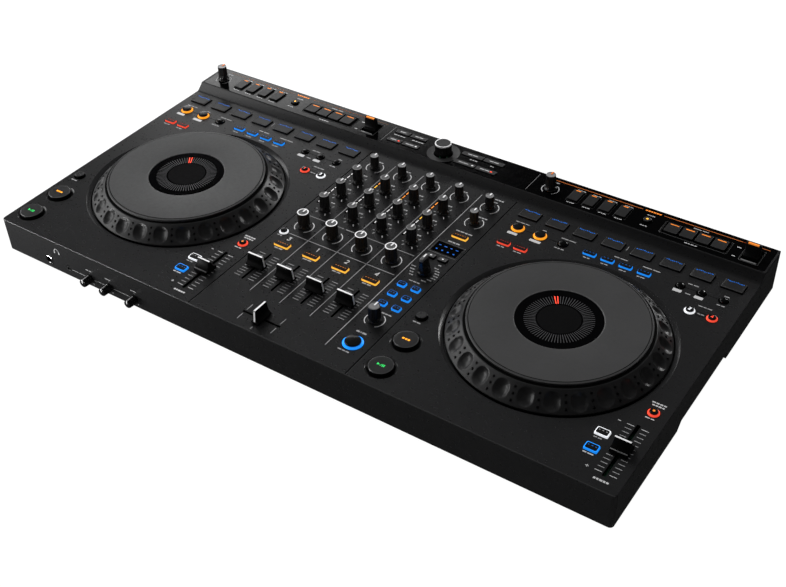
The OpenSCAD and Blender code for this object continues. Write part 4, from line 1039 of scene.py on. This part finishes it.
for n, s_ in (("left", -1), ("right", 1)):
    cx = s_ * DX
    # pads with a lit strip at the back of each
    m = Mesh()
    for x, y, w, d in PADS:
        X = cx + x
        # pad sides are painted near-black as shade; the lighter top edge band is a painted highlight
        m.loft([rr(w + 2, d + 2, 0.8, -4.6, X, y, 3), rr(w + 2, d + 2, 0.8, -3.6, X, y, 3), rr(w, d, 0.9, -3.6, X, y, 3), rr(w, d, 0.9, 1.1, X, y, 3), rr(w - 0.3, d - 0.3, 0.8, 1.5, X, y, 3),
                rr(w - 1.1, d - 1.1, 0.8, 1.95, X, y, 3), rr(w - 2.0, d - 2.0, 0.8, 2.05, X, y, 3), rr(w - 2.8, d - 2.8, 0.6, 1.85, X, y, 3)], ["pad", "pad", "shade_black", "shade_black", "pad_edge_highlight", "pad", "pad"], "shade_black", "pad")
        k = PADS.index((x, y, w, d))
        for i in range(9):
            ww, yy = (1.5, 0.9, 1.7, 1.1, 1.3, 0.8)[(i + k) % 6], (0.4, -0.2, 0.5, 0.1, -0.3)[(2 * i + k) % 5]
            m.loft([rr(ww, 1.0, 0.25, 1.7, X - 7.8 + 1.95 * i, y + 4.6 + yy, 2), rr(ww, 1.0, 0.25, 1.95, X - 7.8 + 1.95 * i, y + 4.6 + yy, 2)], "l_blue_pad", "l_blue_pad", "l_blue_pad")
    m.build("pads_%s_caps" % n, "pads_" + n, "pads_" + n, "button_plastic")
    # large transport buttons
    m = Mesh()
    for j, (x, y, rs, rt, h) in enumerate(TRANSPORT):
        X = cx + x
        q = rs - 0.9
        # sides painted near-black as shade; the lighter lip round the top is a painted highlight
        m.lathe([(rs + 1.2, -4.6), (rs + 1.2, -3.6), (q, -3.6), (q, 2.2), (q - 0.12, 2.6), (q - 0.4, 2.9), (q - 0.9, 3.0), (q - 4.5, 2.92), (0.5, 2.85)], ["shade_black"] * 4 + ["cap_rim_highlight", "cap_rim_highlight", "cap_big", "cap_big"], X, y, 0, 96, 0, "shade_black", "cap_big")
        z = 2.93
        if j == 0:
            for k, wd in enumerate((2.1, 2.1, 2.1)):
                bar(m, X - 3.0 + 3.0 * k, y + 0.2, wd, 2.0, "l_orange", z, t=0.05)
        else:
            m.prism([(X - 4.0, y - 1.5), (X - 1.2, y), (X - 4.0, y + 1.5)], z - 0.05, z + 0.05, "l_green")
            stroke(m, [(X - 0.4, y - 1.5), (X + 0.7, y + 1.5)], 0.5, "l_green", z, 0.05)
            for xx in (1.8, 3.4):
                bar(m, X + xx, y, 0.9, 3.0, "l_green", z, t=0.05)
    m.build("transport_buttons_%s_caps" % n, "transport_buttons_" + n, "transport_buttons_" + n, "button_plastic")
    # the deck's other buttons
    m = Mesh()
    for x, y, w, d in MODES:
        lit_key(m, cx + x, y, w, d, "l_blue", dim="d_blue")
    for x, y, w, d in REDS:
        lit_key(m, cx + x, y, w, d, "l_red", dim="d_red")
    for (x, y, w, d), lamp, dim in zip(SYNCS, ("l_white", "l_blue"), ("ink", "d_blue")):
        lit_key(m, cx + x, y, w + 0.8, d + 0.6, lamp, dim=dim, rim=0.65)
    lamps = ["l_orange", "l_orange", None, None, None, None] + (["l_red", "l_white"] if s_ < 0 else ["l_white", "l_red"]) + [None, "l_red"]
    for (x, y, rs, rt, h), lamp in zip(ROUNDS, lamps):
        round_key(m, cx + x, y, rs, rt, h, lamp, "black_dome" if lamp is None and x != -118 else "cap_gloss")
    for k, (lo, hi) in ((6, ("1", "2")), (7, ("3", "4"))):
        digit(m, lo if s_ < 0 else hi, cx + ROUNDS[k][0], ROUNDS[k][1], 0.62, 0.6, "l_red" if (k == 6) == (s_ < 0) else "l_white", 2.6)
    x, y = ROUNDS[9][0], ROUNDS[9][1]
    m.lathe([(1.15, 2.4), (1.15, 2.8), (0.2, 2.84)], "orange_mark", cx + x, y, 0, 16, 0, "orange_mark", "orange_mark")
    m.build("deck_buttons_%s_caps" % n, "deck_buttons_" + n, "deck_buttons_" + n, "button_plastic")

m = Mesh()
for x, y, w, d in CUES + MIX_KEYS[:1]:
    lit_key(m, x, y, w, d, "l_amber", dim="d_amber")
for x, y, w, d in MIX_KEYS[1:3]:
    # sides painted near-black as shade; the lighter top edge band is a painted highlight
    plain_key(m, x, y, w, d, "key_grey", h=2.0, edge="bezel_highlight", side="shade_black")
    m.loft([rr(1.9, 1.4, 0.3, 1.7, x, y, 2), rr(1.9, 1.4, 0.3, 2.02, x, y, 2)], "white", "white", "white")
for x, y, w, d in MIX_KEYS[3:]:
    lit_key(m, x, y, w, d, "l_blue", dim="d_blue", rim=0.2)
round_key(m, *MIX_ROUNDS[0], "l_blue", n=72, dome=0.9)
round_key(m, *MIX_ROUNDS[1], "l_white")
m.build("mixer_button_caps", "mixer_buttons", "mixer_buttons", "button_plastic")

m = Mesh()
for s_ in (-1, 1):
    cx = s_ * DX
    # bar button sides painted near-black as shade; the bank buttons' lighter top edge band is a painted highlight
    for x, y, w, d in BAR_FX:
        plain_key(m, cx + x, y, w - 0.4, d - 0.4, "bar_cap", BAR_Z, 2.1, 3.2, 0.04, "bar_cap", "shade_black")
        m.loft([rr(5.6, 1.1, 0.25, BAR_Z + 1.8, cx + x - 0.6, y + 7.6, 2), rr(5.6, 1.1, 0.25, BAR_Z + 2.16, cx + x - 0.6, y + 7.6, 2)], "orange_mark", "orange_mark", "orange_mark")
    for x, y, w, d in BAR_BANK:
        plain_key(m, cx + x, y, w - 1.0, d - 0.6, "bar_cap", BAR_Z, 2.1, 3.2, 0.04, "bezel_highlight", "shade_black")
        m.loft([rr(9.2, 1.1, 0.25, BAR_Z + 1.8, cx + x, y + 5.4, 2), rr(9.2, 1.1, 0.25, BAR_Z + 2.16, cx + x, y + 5.4, 2)], "orange_mark", "orange_mark", "orange_mark")
    round_key(m, cx + BAR_ROUND[0], *BAR_ROUND[1:], None, z=BAR_Z, stem=3.2)
    m.lathe([(1.2, BAR_Z + 1.9), (1.2, BAR_Z + 2.3), (0.3, BAR_Z + 2.36)], "l_amber", cx + BAR_ROUND[0], BAR_ROUND[1], 0, 16, 0, "l_amber", "l_amber")
for i, (x, y, w, d) in enumerate(BROWSE):
    # key sides painted near-black as shade; the lighter top edge band is a painted highlight
    m.loft([rr(w - 0.4, d - 0.4, 0.8, BAR_Z - 4.2, x, y, 3), rr(w - 0.4, d - 0.4, 0.8, BAR_Z - 3.2, x, y, 3), rr(w, d, 0.8, BAR_Z - 3.2, x, y, 3), rr(w, d, 0.8, BAR_Z + 0.8, x, y, 3), rr(w - 0.5, d - 0.5, 0.6, BAR_Z + 1.0, x, y, 3)], ["shade_black", "shade_black", "shade_black", "bezel_highlight"], "shade_black", "browse_key")
for x, y, w, d in BROWSE:
    dashes(m, x - 1.5 if y < 340 else x, y, [w * 0.42] if w < 20 else [w * 0.2, w * 0.24], 1.1, "ink_hi", 0.8, BAR_Z + 1.0)
for x, mt in ((-73.7, "l_red"), (46.3, "l_red"), (-50.7, "white"), (22.7, "white")):
    m.loft([rr(2.3, 1.7, 0.5, BAR_Z + 0.8, x, 333.5, 3), rr(2.3, 1.7, 0.5, BAR_Z + 1.1, x, 333.5, 3)], mt, mt, mt)
m.build("bar_button_caps", "bar_buttons", "bar_buttons", "button_plastic")


# ------------------------------------------------------------------ jog wheels
CONE = [(103.8, -1.0), (88.8, 13.3)]


def jog_ring(n, s_):
    cx = s_ * DX
    nd, sub = 26, 30
    na = nd * sub
    (ra, za), (rb, zb) = CONE
    L = math.hypot(rb - ra, zb - za)
    ux, uz = (rb - ra) / L, (zb - za) / L        # up the slope
    nx, nz = -uz, ux                              # inwards
    if nx > 0:
        nx, nz = -nx, -nz
    rows = [(9.6, -6), (99.5, -6), (103.6, -2.9), (104.1, -2.3), (104.2, -1.8), (104.1, -1.3)]
    steps = 30
    cone = [(ra + ux * L * i / steps, za + uz * L * i / steps, L * i / steps) for i in range(steps + 1)]
    tail = [(88.5, 13.75), (88.0, 13.98), (87.6, 14.0), (83.6, 14.0), (83.6, 11.6), (86.6, 11.0), (98.6, -2.4), (98.6, -3.6), (14, -3.6), (14, 5), (9.6, 5)]
    loops, ms = [], []
    for r, z in rows:
        loops.append([(cx + r * math.cos(2 * PI * j / na), JY + r * math.sin(2 * PI * j / na), z) for j in range(na)])
    R, off, half = 10.4, 7.3, 1.4
    for r, z, u in cone:
        lp = []
        for j in range(na):
            a = 2 * PI * j / na
            k = round((math.degrees(a) - 4) / (360 / nd))
            da = math.radians(math.degrees(a) - 4 - k * 360 / nd)
            v = r * math.sin(da)
            w = max(0.0, abs(u - L * 0.5) - half)
            q = R * R - v * v - w * w
            d = math.sqrt(q) - off if q > 0 else -1
            if d > 0:
                # soft lip
                d = d - 0.12 * math.exp(-d / 0.12)
                d = max(d, 0)
            else:
                d = 0
            rr_, zz = r + nx * d, z + nz * d
            lp.append((cx + rr_ * math.cos(a), JY + rr_ * math.sin(a), zz))
        loops.append(lp)
    for r, z in tail:
        loops.append([(cx + r * math.cos(2 * PI * j / na), JY + r * math.sin(2 * PI * j / na), z) for j in range(na)])
    m = Mesh()
    loops.append(loops[0])
    nr = len(rows)
    ms = ["rim"] * (nr - 1) + ["rim"] * (steps + 1) + ["rim"] * 3 + ["groove"] * 3 + ["rim"] * (len(tail) - 6) + ["rim"]
    n_ = na
    verts = [p for l in loops[:-1] for p in l]
    faces, mm = [], []
    NL = len(loops) - 1
    for i in range(NL):
        for j in range(n_):
            k = (j + 1) % n_
            i2 = (i + 1) % NL
            faces.append([i * n_ + j, i * n_ + k, i2 * n_ + k, i2 * n_ + j])
            mm.append(ms[i] if i < len(ms) else "rim")
    m.add(verts, faces, mm)
    # small studs between the dimples, painted near-black as shade
    for i in range(nd):
        a = math.radians(4 + (i + 0.5) * 360 / nd)
        for t in (0.2, 0.5, 0.8):
            r, z = ra + ux * L * t, za + uz * L * t
            c = Vector((r * math.cos(a), r * math.sin(a), z))
            nn = Vector((-nx * math.cos(a), -nx * math.sin(a), -nz))
            tt = Vector((-math.sin(a), math.cos(a), 0))
            bb = nn.cross(tt)
            vs, fs = [], []
            ks = 10
            for rad, h in ((1.35, -0.15), (1.3, 0.35), (1.0, 0.8), (0.4, 0.95)):
                for j in range(ks):
                    th = 2 * PI * j / ks
                    p = c + tt * (rad * math.cos(th)) + bb * (rad * math.sin(th)) + nn * h
                    vs.append((cx + p.x, JY + p.y, p.z))
            for q in range(3):
                for j in range(ks):
                    k2 = (j + 1) % ks
                    fs.append([q * ks + j, q * ks + k2, (q + 1) * ks + k2, (q + 1) * ks + j])
            fs.append(list(range(ks))[::-1])
            fs.append([3 * ks + j for j in range(ks)])
            m.add(vs, fs, "stud_shade")
    m.build("jog_%s_rim" % n, "jog_" + n, "jog_ring_" + n, "rim_rubber", 40)
    # top plate
    m = Mesh()
    prof = [(80, 14.0), (84.0, 14.0), (84.6, 14.2), (85.0, 14.8), (85.0, 16.5), (84.7, 16.85), (83.2, 17.1), (83.0, 16.75), (82.6, 16.75), (82.45, 17.2), (41.8, 17.2), (41.3, 17.12), (40.95, 16.8), (40.9, 15.0), (80, 15.0)]
    na = 256
    verts = [(cx + r * math.cos(2 * PI * j / na), JY + r * math.sin(2 * PI * j / na), z) for r, z in prof for j in range(na)]
    mats = ["plate_side"] * 4 + ["plate_edge", "plate_band", "groove", "groove", "groove", "plate", "plate_edge", "plate_edge", "plate_side", "plate_side", "plate_side"]
    faces, mm = [], []
    for i in range(len(prof)):
        for j in range(na):
            k = (j + 1) % na
            i2 = (i + 1) % len(prof)
            faces.append([i * na + j, i * na + k, i2 * na + k, i2 * na + j])
            mm.append(mats[i])
    m.add(verts, faces, mm)
    m.build("jog_%s_plate" % n, "jog_" + n, "jog_plate_" + n, "jog_plate", 30)


def hub(m, cx):
    """The fixed post with the glossy centre display on it."""
    prof = [(0.5, -36.1), (26, -36.1), (26, -33.1), (9, -33.1), (9, 10), (38.8, 10), (40.3, 11.5), (40.3, 16.45), (40.15, 16.6), (20.0, 16.6), (19.9, 16.6), (0.5, 16.6)]
    mats = ["case"] * 6 + ["groove"] * 2 + ["gloss_display", "groove", "hub"]
    m.lathe(prof, mats, cx, JY, 0, 192, 0, "case", "hub")
    for k in range(72):
        if k in (24, 25):
            continue
        a = 90 - (k - 24.5) * 5 + 33 - 0.0
        spoke(m, cx, JY, 21.6, 32.4, a, 0.62, "tick", 16.6)
    for a in (120.4, 125.4):
        spoke(m, cx, JY, 21.6, 32.4, a, 0.9, "l_red", 16.6)


M["plate_side"] = plastic("jog_plate_side", (0.02, 0.02, 0.0205), 0.4, 0.5)
for n_, s_ in (("left", -1), ("right", 1)):
    jog_ring(n_, s_)
m = Mesh()
for s_ in (-1, 1):
    hub(m, s_ * DX)
m.build("jog_centre_displays", "case", "jog_hubs", "gloss_plate", 30)


# ------------------------------------------------------------------ rear plate
def make_plate():
    b = Mesh()
    w, y0, d = BODY_W - 4.4, 342.25, 40.1
    b.loft([rr(w, d, 2.8, 6.0, 0, y0, 6), rr(w, d, 2.8, 7.5, 0, y0, 6), rr(w - 0.9, d - 0.9, 2.6, 8.0, 0, y0, 6)], "gloss", "gloss", "gloss")
    o = raw(b, "bar_plate")
    c = Mesh()
    for s in (-1, 1):
        cx = s * DX
        for x, y, w, d in BAR_FX:
            key_cut(c, cx + x, y, w - 0.2, d, 4, BAR_Z, 0.4, 0.2)
        c.loft([rr(67.4, 17.4, 1.2, 4, cx + 52.2, 340), rr(67.4, 17.4, 1.2, 7.8, cx + 52.2, 340), rr(67.8, 17.8, 1.4, 8.0, cx + 52.2, 340), rr(67.8, 17.8, 1.4, 9.0, cx + 52.2, 340)], "gloss", "gloss", "gloss")
        round_cut(c, cx + BAR_ROUND[0], BAR_ROUND[1], BAR_ROUND[2], 4, BAR_Z, 0.4, 0.2)
        round_cut(c, cx - 110.6, 339.5, 3.5, 4, BAR_Z, 0.3, 0.2, 24)
        key_cut(c, cx + 110, 340.5, 16.7, 21.2, 4, BAR_Z, 0.4, 0.3)
    for x, y, w, d in BROWSE:
        key_cut(c, x, y, w, d, 4, BAR_Z, 0.4, 0.2)
    cut(o, raw(c, "plate_holes"))
    c = Mesh()
    c.lathe([(10.8, 4), (10.8, 7.27), (12.2, 7.3), (14.5, 7.45), (17.0, 7.7), (18.6, 8.0), (18.6, 9.0)], "gloss", -18.7, 340.5, 0, 64, 0, "gloss", "gloss")
    cut(o, raw(c, "dish_hole"))
    me = o.data
    me.materials.append(M["gloss"])
    me.materials.append(M["skirt_dish"])
    me.materials.append(M["edge"])
    idx = []
    for p in me.polygons:
        x, y, z = p.center
        r = math.hypot(x + 18.7, y - 340.5)
        # faces on the plate's front bevel take the lighter edge tone, a painted highlight
        idx.append(1 if r < 18.8 and 7.19 < z < 7.999 and p.normal.z > 0.5 else 2 if p.normal.y < -0.3 and p.normal.z > 0.3 and z > 7.4 and y < 325 else 0)
    me.polygons.foreach_set("material_index", idx)
    flat = [abs(p.normal.z) < 0.9999 for p in me.polygons]
    me.transform(Matrix.Diagonal((0.001, 0.001, 0.001, 1)))
    me.transform(Matrix.Translation((0, -Y_MID * 0.001, DECK_Z * 0.001)))
    me.set_sharp_from_angle(angle=math.radians(32))
    me.polygons.foreach_set("use_smooth", flat)
    me.update()
    o.name = "rear_bar_plate"
    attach(o, "case")
    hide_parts("rear_control_plate")


M["skirt_dish"] = plastic("skirt_dish", (0.036, 0.036, 0.0365), 0.36, 0.5, vary=0.05, rvary=0.01)
make_plate()

m = Mesh()
for s_ in (-1, 1):
    cx = s_ * DX
    z = BAR_Z
    # long orange dashes along the back and ticks between them
    for a, b in ((-112.5, -12.5), (11, 122)):
        # on the left the line takes the dulled copy, standing in for the reflection over the left bar
        bar(m, cx + (a + b) / 2, 357.3, b - a, 0.62, "orange_line" if s_ > 0 else "orange_line_reflection_dulled", z)
    if s_ < 0:
        for x, wd in ((-84, 1.2), (-78, 1.6), (-57, 1.4), (-53, 2.0), (-40, 1.2), (-31, 1.6), (16, 1.4), (36, 1.6)):
            bar(m, cx + x, 357.3, wd, 0.9, "orange_ink", z)
        for k in range(9):
            bar(m, cx + 48 + 5.0 * k, 357.3, 2.6, 0.8, "orange_ink", z)
    dashes(m, cx - 0.8, 357.3, [2.2, 2.4, 2.0, 2.6, 2.2, 2.4], 1.7, "orange_mark", 0.7, z)
    # the left arcs take a dimmer print tone for the same painted reflection
    arc(m, cx - 110.6, 339.5, 9.2, -58, 64, 0.7, "ink_hi" if s_ > 0 else "line", z)
    arc(m, cx - 110.6, 339.5, 9.2, 116, 238, 0.7, "ink_hi" if s_ > 0 else "line", z)
    dashes(m, cx - 110.6, 353.2, [3.4, 3.4], 1.2, "ink", 0.8, z)
    for i, (x, y, w, d) in enumerate(BAR_FX):
        dashes(m, cx + x, 328.6, [2.4, 1.8, 3.0], 1.0, "label", 0.6, z)
        dashes(m, cx + x + 1.0, 353.4, [2.6, 2.2, 3.0], 1.0, "label", 0.6, z)
        # a thin lighter outline round each key hole: a painted highlight on the hole's chamfer
        ring_line(m, [(cx + x - w / 2 - 0.9, y - d / 2 - 0.9), (cx + x + w / 2 + 0.9, y - d / 2 - 0.9), (cx + x + w / 2 + 0.9, y + d / 2 + 0.9), (cx + x - w / 2 - 0.9, y + d / 2 + 0.9)], 0.3, "bezel_highlight", z)
    dashes(m, cx - 0.6, 331.4, [2.4, 1.8, 2.2], 1.0, "label", 0.6, z)
    dashes(m, cx - 0.6, 350.6, [2.4, 1.6, 3.2], 1.0, "label", 0.6, z)
    frame_ring(m, cx + 52.2, 340.1, 71.4, 21.4, 1.9, 67.6, 17.6, z)
    dashes(m, cx + 52.2, 326.6, [3.0, 2.2, 3.2, 2.6], 1.1, "label", 0.7, z)
    dashes(m, cx + 52.2, 353.6, [8.4, 6.4], 1.2, "ink", 1.2, z)
    frame_ring(m, cx + 110, 340.5, 20.2, 24.8, 1.6, 17.4, 21.9, z)
    dashes(m, cx + 94.4, 347.0, [4.2], 1.2, "label", 0.8, z)
    dashes(m, cx + 94.4, 331.5, [3.4], 1.2, "label", 0.8, z)
    bar(m, cx + 110, 329.9, 15.6, 1.6, "ledge", z + 0.42, t=0.1)
    # the left copy is dulled for the same painted reflection
    bar(m, cx + 96.75, 357.3, 5.5, 0.62, "orange_line" if s_ > 0 else "orange_line_reflection_dulled", z)
    bar(m, s_ * 93.0, 342.3, 0.4, 33, "faint", z)
for x, y, w, d in BROWSE:
    if y > 340:
        dashes(m, x + (1.6 if x > 30 else 5.0 if x > 0 else 2.4 if x > -60 else -0.4), 344.2, [2.0, 1.8] if x > 30 else [2.6, 2.2, 3.4] if x > 0 else [3.8, 2.8, 3.4, 2.6], 1.0, "label", 0.7, BAR_Z)
m.build("rear_bar_marks", "case", None, "gloss_plate", 0)

# levers
for n, s_ in (("left", -1), ("right", 1)):
    m = Mesh()
    X, Y = s_ * DX + 110, 340.5
    prof = [(-3.0, 0.0), (-4.6, 5.0), (-5.0, 9.2), (-4.7, 9.8), (-3.4, 10.3), (-2.6, 11.2), (-2.2, 12.6), (-1.75, 19.5), (-1.55, 22.3), (-1.2, 22.84), (-0.6, 22.93), (0.6, 22.93), (1.25, 22.84), (1.7, 22.2), (2.1, 19.0), (2.7, 12.0), (3.9, 7.0), (4.4, 5.0), (3.0, 0.0)]
    loops = []
    for t, ins in ((-7.75, 0.5), (-7.55, 0.12), (-7.3, 0.0), (7.3, 0.0), (7.55, 0.12), (7.75, 0.5)):
        loops.append([(X + t, Y + y - math.copysign(min(ins, abs(y) * 0.5), y), z - (ins if z > 20 else 0)) for y, z in prof])
    m.loft(loops, "lever", "lever", "lever")
    tip = [(-1.63, 21.9), (-1.61, 22.3), (-1.26, 22.92), (-0.62, 23.0), (0.62, 23.0), (0.62, 22.7), (-0.6, 22.7), (-1.0, 22.5), (-1.3, 22.2), (-1.4, 21.9)]
    m.loft([[(X + t, Y + y, z) for y, z in tip] for t in (-5.8, 5.0)], "orange_mark", "orange_mark", "orange_mark")
    m.lathe([(1, -11.6), (1, 11.6)], "steel", 0, 0, 0, 16, 0, "steel", "steel")
    k = 2 * 16
    m.v[-k:] = [(X + p[2], Y + p[1], 2 + p[0]) for p in m.v[-k:]]
    m.build("bar_lever_%s_paddle" % n, "bar_lever_" + n, "bar_lever_" + n, "fader_plastic")

# windows: level meters, effect display
m = Mesh()
for i, x in enumerate(CH):
    X = x - 14.5
    m.box(X - 1.2, X + 1.2, 199.1, 268.9, -2.6, -0.1, "gloss_display")
    for k in range(9):
        y = 204.2 + 7.45 * k
        mt = "m_white"
        if i and k >= (9, 7, 6, 4)[i]:
            mt = "m_yellow" if k == (9, 7, 6, 4)[i] else "m_orange"
        m.loft([rr(1.05, 5.3, 0.2, -0.3, X, y, 2), rr(1.05, 5.3, 0.2, 0.05, X, y, 2)], mt, mt, mt)
fx, fy = 73.0, 201.8
m.loft([rr(31.7, 19.2, 0.6, -3.5, fx, fy, 3), rr(31.7, 19.2, 0.6, 0.3, fx, fy, 3), rr(31.1, 18.6, 0.6, 0.5, fx, fy, 3), rr(29.6, 17.1, 0.4, 0.5, fx, fy, 3), rr(29.4, 16.9, 0.4, 0.1, fx, fy, 3)],
       ["case", "window_frame", "window_frame", "window_frame"], "case", "gloss_display")
for j, y in enumerate((fy + 3.6, fy - 3.4)):
    for k in range(4):
        X = fx - 10.2 + 6.6 * k
        ww = 1.9 if j else (2.6, 3.4, 2.4, 3.0)[k]
        m.loft([rr(ww, 1.5 - 0.5 * (j == 0), 0.3, 0.05, X, y, 2), rr(ww, 1.5 - 0.5 * (j == 0), 0.3, 0.16, X, y, 2)], "l_blue_dim", "l_blue_dim", "l_blue_dim")
m.build("meters_and_effect_window", "case", "indicator_windows", "gloss_plate", 30)

# sockets, their bores painted near-black as shade
m = Mesh()
s = Mesh()
s.loft([rr(14, 14, 1, -27, 0, 0, 3), rr(14, 14, 1, -4, 0, 0, 3)], "case", "case", "case")
s.lathe([(5.2, -4), (5.2, 0.3), (5.1, 0.6), (4.7, 0.8), (3.6, 0.8), (3.3, 0.5), (3.25, -22)], ["chrome"] * 4 + ["chrome", "hole_shade"], 0, 0, 0, 48, 0, None, "hole_shade")
join(m, moved(s, to_front(JACK_X, FRONT_Z)))
s = Mesh()
s.loft([rr(9, 9, 0.8, -20, 0, 0, 3), rr(9, 9, 0.8, -4, 0, 0, 3)], "case", "case", "case")
s.lathe([(2.8, -4), (2.8, 0.2), (2.6, 0.4), (2.0, 0.4), (1.85, 0.2), (1.85, -16)], ["case"] * 4 + ["hole_shade"], 0, 0, 0, 32, 0, None, "hole_shade")
join(m, moved(s, to_front(MINI_X, FRONT_Z)))
m.box(-119.7, 119.7, 359.8, 361.8, -32.8, -9.2, "case")
for x in (-98, -74):
    s = Mesh()
    s.loft([rr(14, 14, 1, -26.6, 0, 0, 3), rr(14, 14, 1, -7.6, 0, 0, 3)], "case", "case", "case")
    s.lathe([(4.9, -7.6), (4.9, -0.9), (4.7, -0.6), (3.5, -0.6), (3.25, -0.9), (3.25, -20)], ["chrome"] * 4 + ["hole_shade"], 0, 0, 0, 40, 0, None, "hole_shade")
    join(m, moved(s, to_back(x, -21)))
for i, x in enumerate((-40, -24, 4, 20)):
    s = Mesh()
    s.loft([rr(12, 12, 1, -15, 0, 0, 3), rr(12, 12, 1, -7, 0, 0, 3)], "case", "case", "case")
    s.lathe([(3.95, -7), (3.95, -0.4), (3.8, -0.2), (3.2, -0.2), (3.0, -0.5), (2.9, -1.0), (1.9, -1.0), (1.65, -1.3), (1.65, -9)], ["chrome"] * 4 + ["phono_a" if i % 2 else "phono_b"] * 2 + ["chrome", "hole_shade"], 0, 0, 0, 40, 0, None, "hole_shade")
    join(m, moved(s, to_back(x, -21)))
for x in (58, 80, 102):
    m.loft([[(p[0], 365.2 if k else 351, p[1] - 21 + 0) for p in rr(9.2, 3.2, 0.8, 0, x, 0, 3)] for k in (0, 1)] +
           [[(p[0], yy, p[1] - 21) for p in rr(8.3, 2.3, 0.6, 0, x, 0, 3)] for yy in (365.2, 354)], ["steel", "steel", "hole_shade"], "steel", "hole_shade")
m.build("sockets_body", "case", "sockets", "steel", 35)


# ------------------------------------------------------------------ pieces kept from the frame
def finish_node(name, mat):
    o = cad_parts[name]
    if not o.data.materials:
        o.data.materials.append(M[mat])
    for i in range(len(o.data.materials)):
        o.data.materials[i] = M[mat]


finish_node("bottom_case", "case")
finish_node("rubber_feet", "rubber")
finish_node("case_screws", "steel")
finish_node("circuit_boards", "board")


# ------------------------------------------------------------------ studio
sc = bpy.context.scene
cam_d = bpy.data.cameras.new("camera")
cam = bpy.data.objects.new("camera", cam_d)
sc.collection.objects.link(cam)
cam_d.lens = 54.008
cam_d.sensor_width = 36.0
cam_d.sensor_fit = "HORIZONTAL"
cam_d.clip_start = 0.05
cam_d.clip_end = 30
right = Vector((0.82766, 0.56036, -0.0313))
down = Vector((0.3372, -0.54109, -0.7704))
fwd = Vector((-0.44863, 0.62707, -0.63679))
fwd.normalize()
right = (right - fwd * right.dot(fwd)).normalized()
up = -fwd.cross(right).normalized() * -1
up = right.cross(fwd).normalized()
R_ = Matrix((right, up, -fwd)).transposed().to_4x4()
cam.matrix_world = Matrix.Translation((0.57335, -0.77118, 0.76487)) @ R_
sc.camera = cam

# floor
fm, nt, bs = new_mat("floor_paper")
bs.inputs["Base Color"].default_value = (0.06, 0.06, 0.06, 1)
bs.inputs["Roughness"].default_value = 0.9
bs.inputs["Specular IOR Level"].default_value = 0.1
bs.inputs["Emission Color"].default_value = (1, 1, 1, 1)
bs.inputs["Emission Strength"].default_value = 1.0
me = bpy.data.meshes.new("floor")
n_, S = 96, 45.0
me.from_pydata([(S * math.cos(2 * PI * i / n_), S * math.sin(2 * PI * i / n_), 0) for i in range(n_)], [], [list(range(n_))])
me.materials.append(fm)
floor = bpy.data.objects.new("floor", me)
sc.collection.objects.link(floor)
floor.visible_glossy = False


def area(name, loc, target, w, h, power, spread=180.0):
    d = bpy.data.lights.new(name, "AREA")
    d.shape = "RECTANGLE"
    d.size, d.size_y = w, h
    d.energy = power
    d.spread = math.radians(spread)
    o = bpy.data.objects.new(name, d)
    sc.collection.objects.link(o)
    o.location = loc
    o.rotation_euler = (Vector(target) - Vector(loc)).to_track_quat("-Z", "Y").to_euler()
    return o


def aim(az, el, dist):
    """A point at an azimuth left of +Y and an elevation, in degrees."""
    a, e = math.radians(az), math.radians(el)
    return (-math.sin(a) * math.cos(e) * dist, math.cos(a) * math.cos(e) * dist, math.sin(e) * dist)


def power(radiance, w, h):
    return radiance * PI * w * h


over = area("overhead", (0.3, 0.1, 2.6), (0, 0, 0), 2.4, 2.4, power(1.1, 2.4, 2.4))
key = area("key", aim(50, 42, 2.4), (0, 0, 0.04), 1.3, 1.3, power(15.5, 1.3, 1.3))
area("panel", (-1.50, 1.85, 1.22), (-0.15, 0.05, 0.3), 1.1, 0.22, power(1.75, 1.1, 0.22))
area("panel_far", aim(50, 24, 2.4), (0, 0, 0.04), 0.45, 0.16, power(0.8, 0.45, 0.16))
area("panel_low", aim(48, 12, 2.2), (0, 0, 0.04), 0.6, 0.5, power(2.8, 0.6, 0.5))
area("left_panel", aim(95, 15, 1.8), (0, 0, 0.04), 1.4, 0.8, power(1.7, 1.4, 0.8))
area("front_high", aim(145, 38, 2.2), (0, 0, 0.04), 1.0, 0.8, power(0.3, 1.0, 0.8))
area("front_left", (-0.95, -0.75, 0.30), (-0.32, -0.18, 0.02), 0.55, 0.4, power(3.2, 0.55, 0.4))
low = area("wall_low", (-0.56, -0.38, 0.010), (-0.56, -0.18, 0.014), 0.6, 0.016, power(58.0, 0.6, 0.016))
area("back_right", aim(-10, 17, 2.4), (0, 0, 0.04), 0.55, 0.6, power(8.0, 0.55, 0.6))
over.visible_glossy = False
low.visible_camera = False
key.visible_glossy = False
w = bpy.data.worlds.new("studio")
sc.world = w
w.use_nodes = True
w.node_tree.nodes["Background"].inputs["Color"].default_value = (1, 1, 1, 1)
w.node_tree.nodes["Background"].inputs["Strength"].default_value = 0.01
sc.view_settings.view_transform = "Standard"
sc.view_settings.look = "None"

bpy.context.view_layer.update()
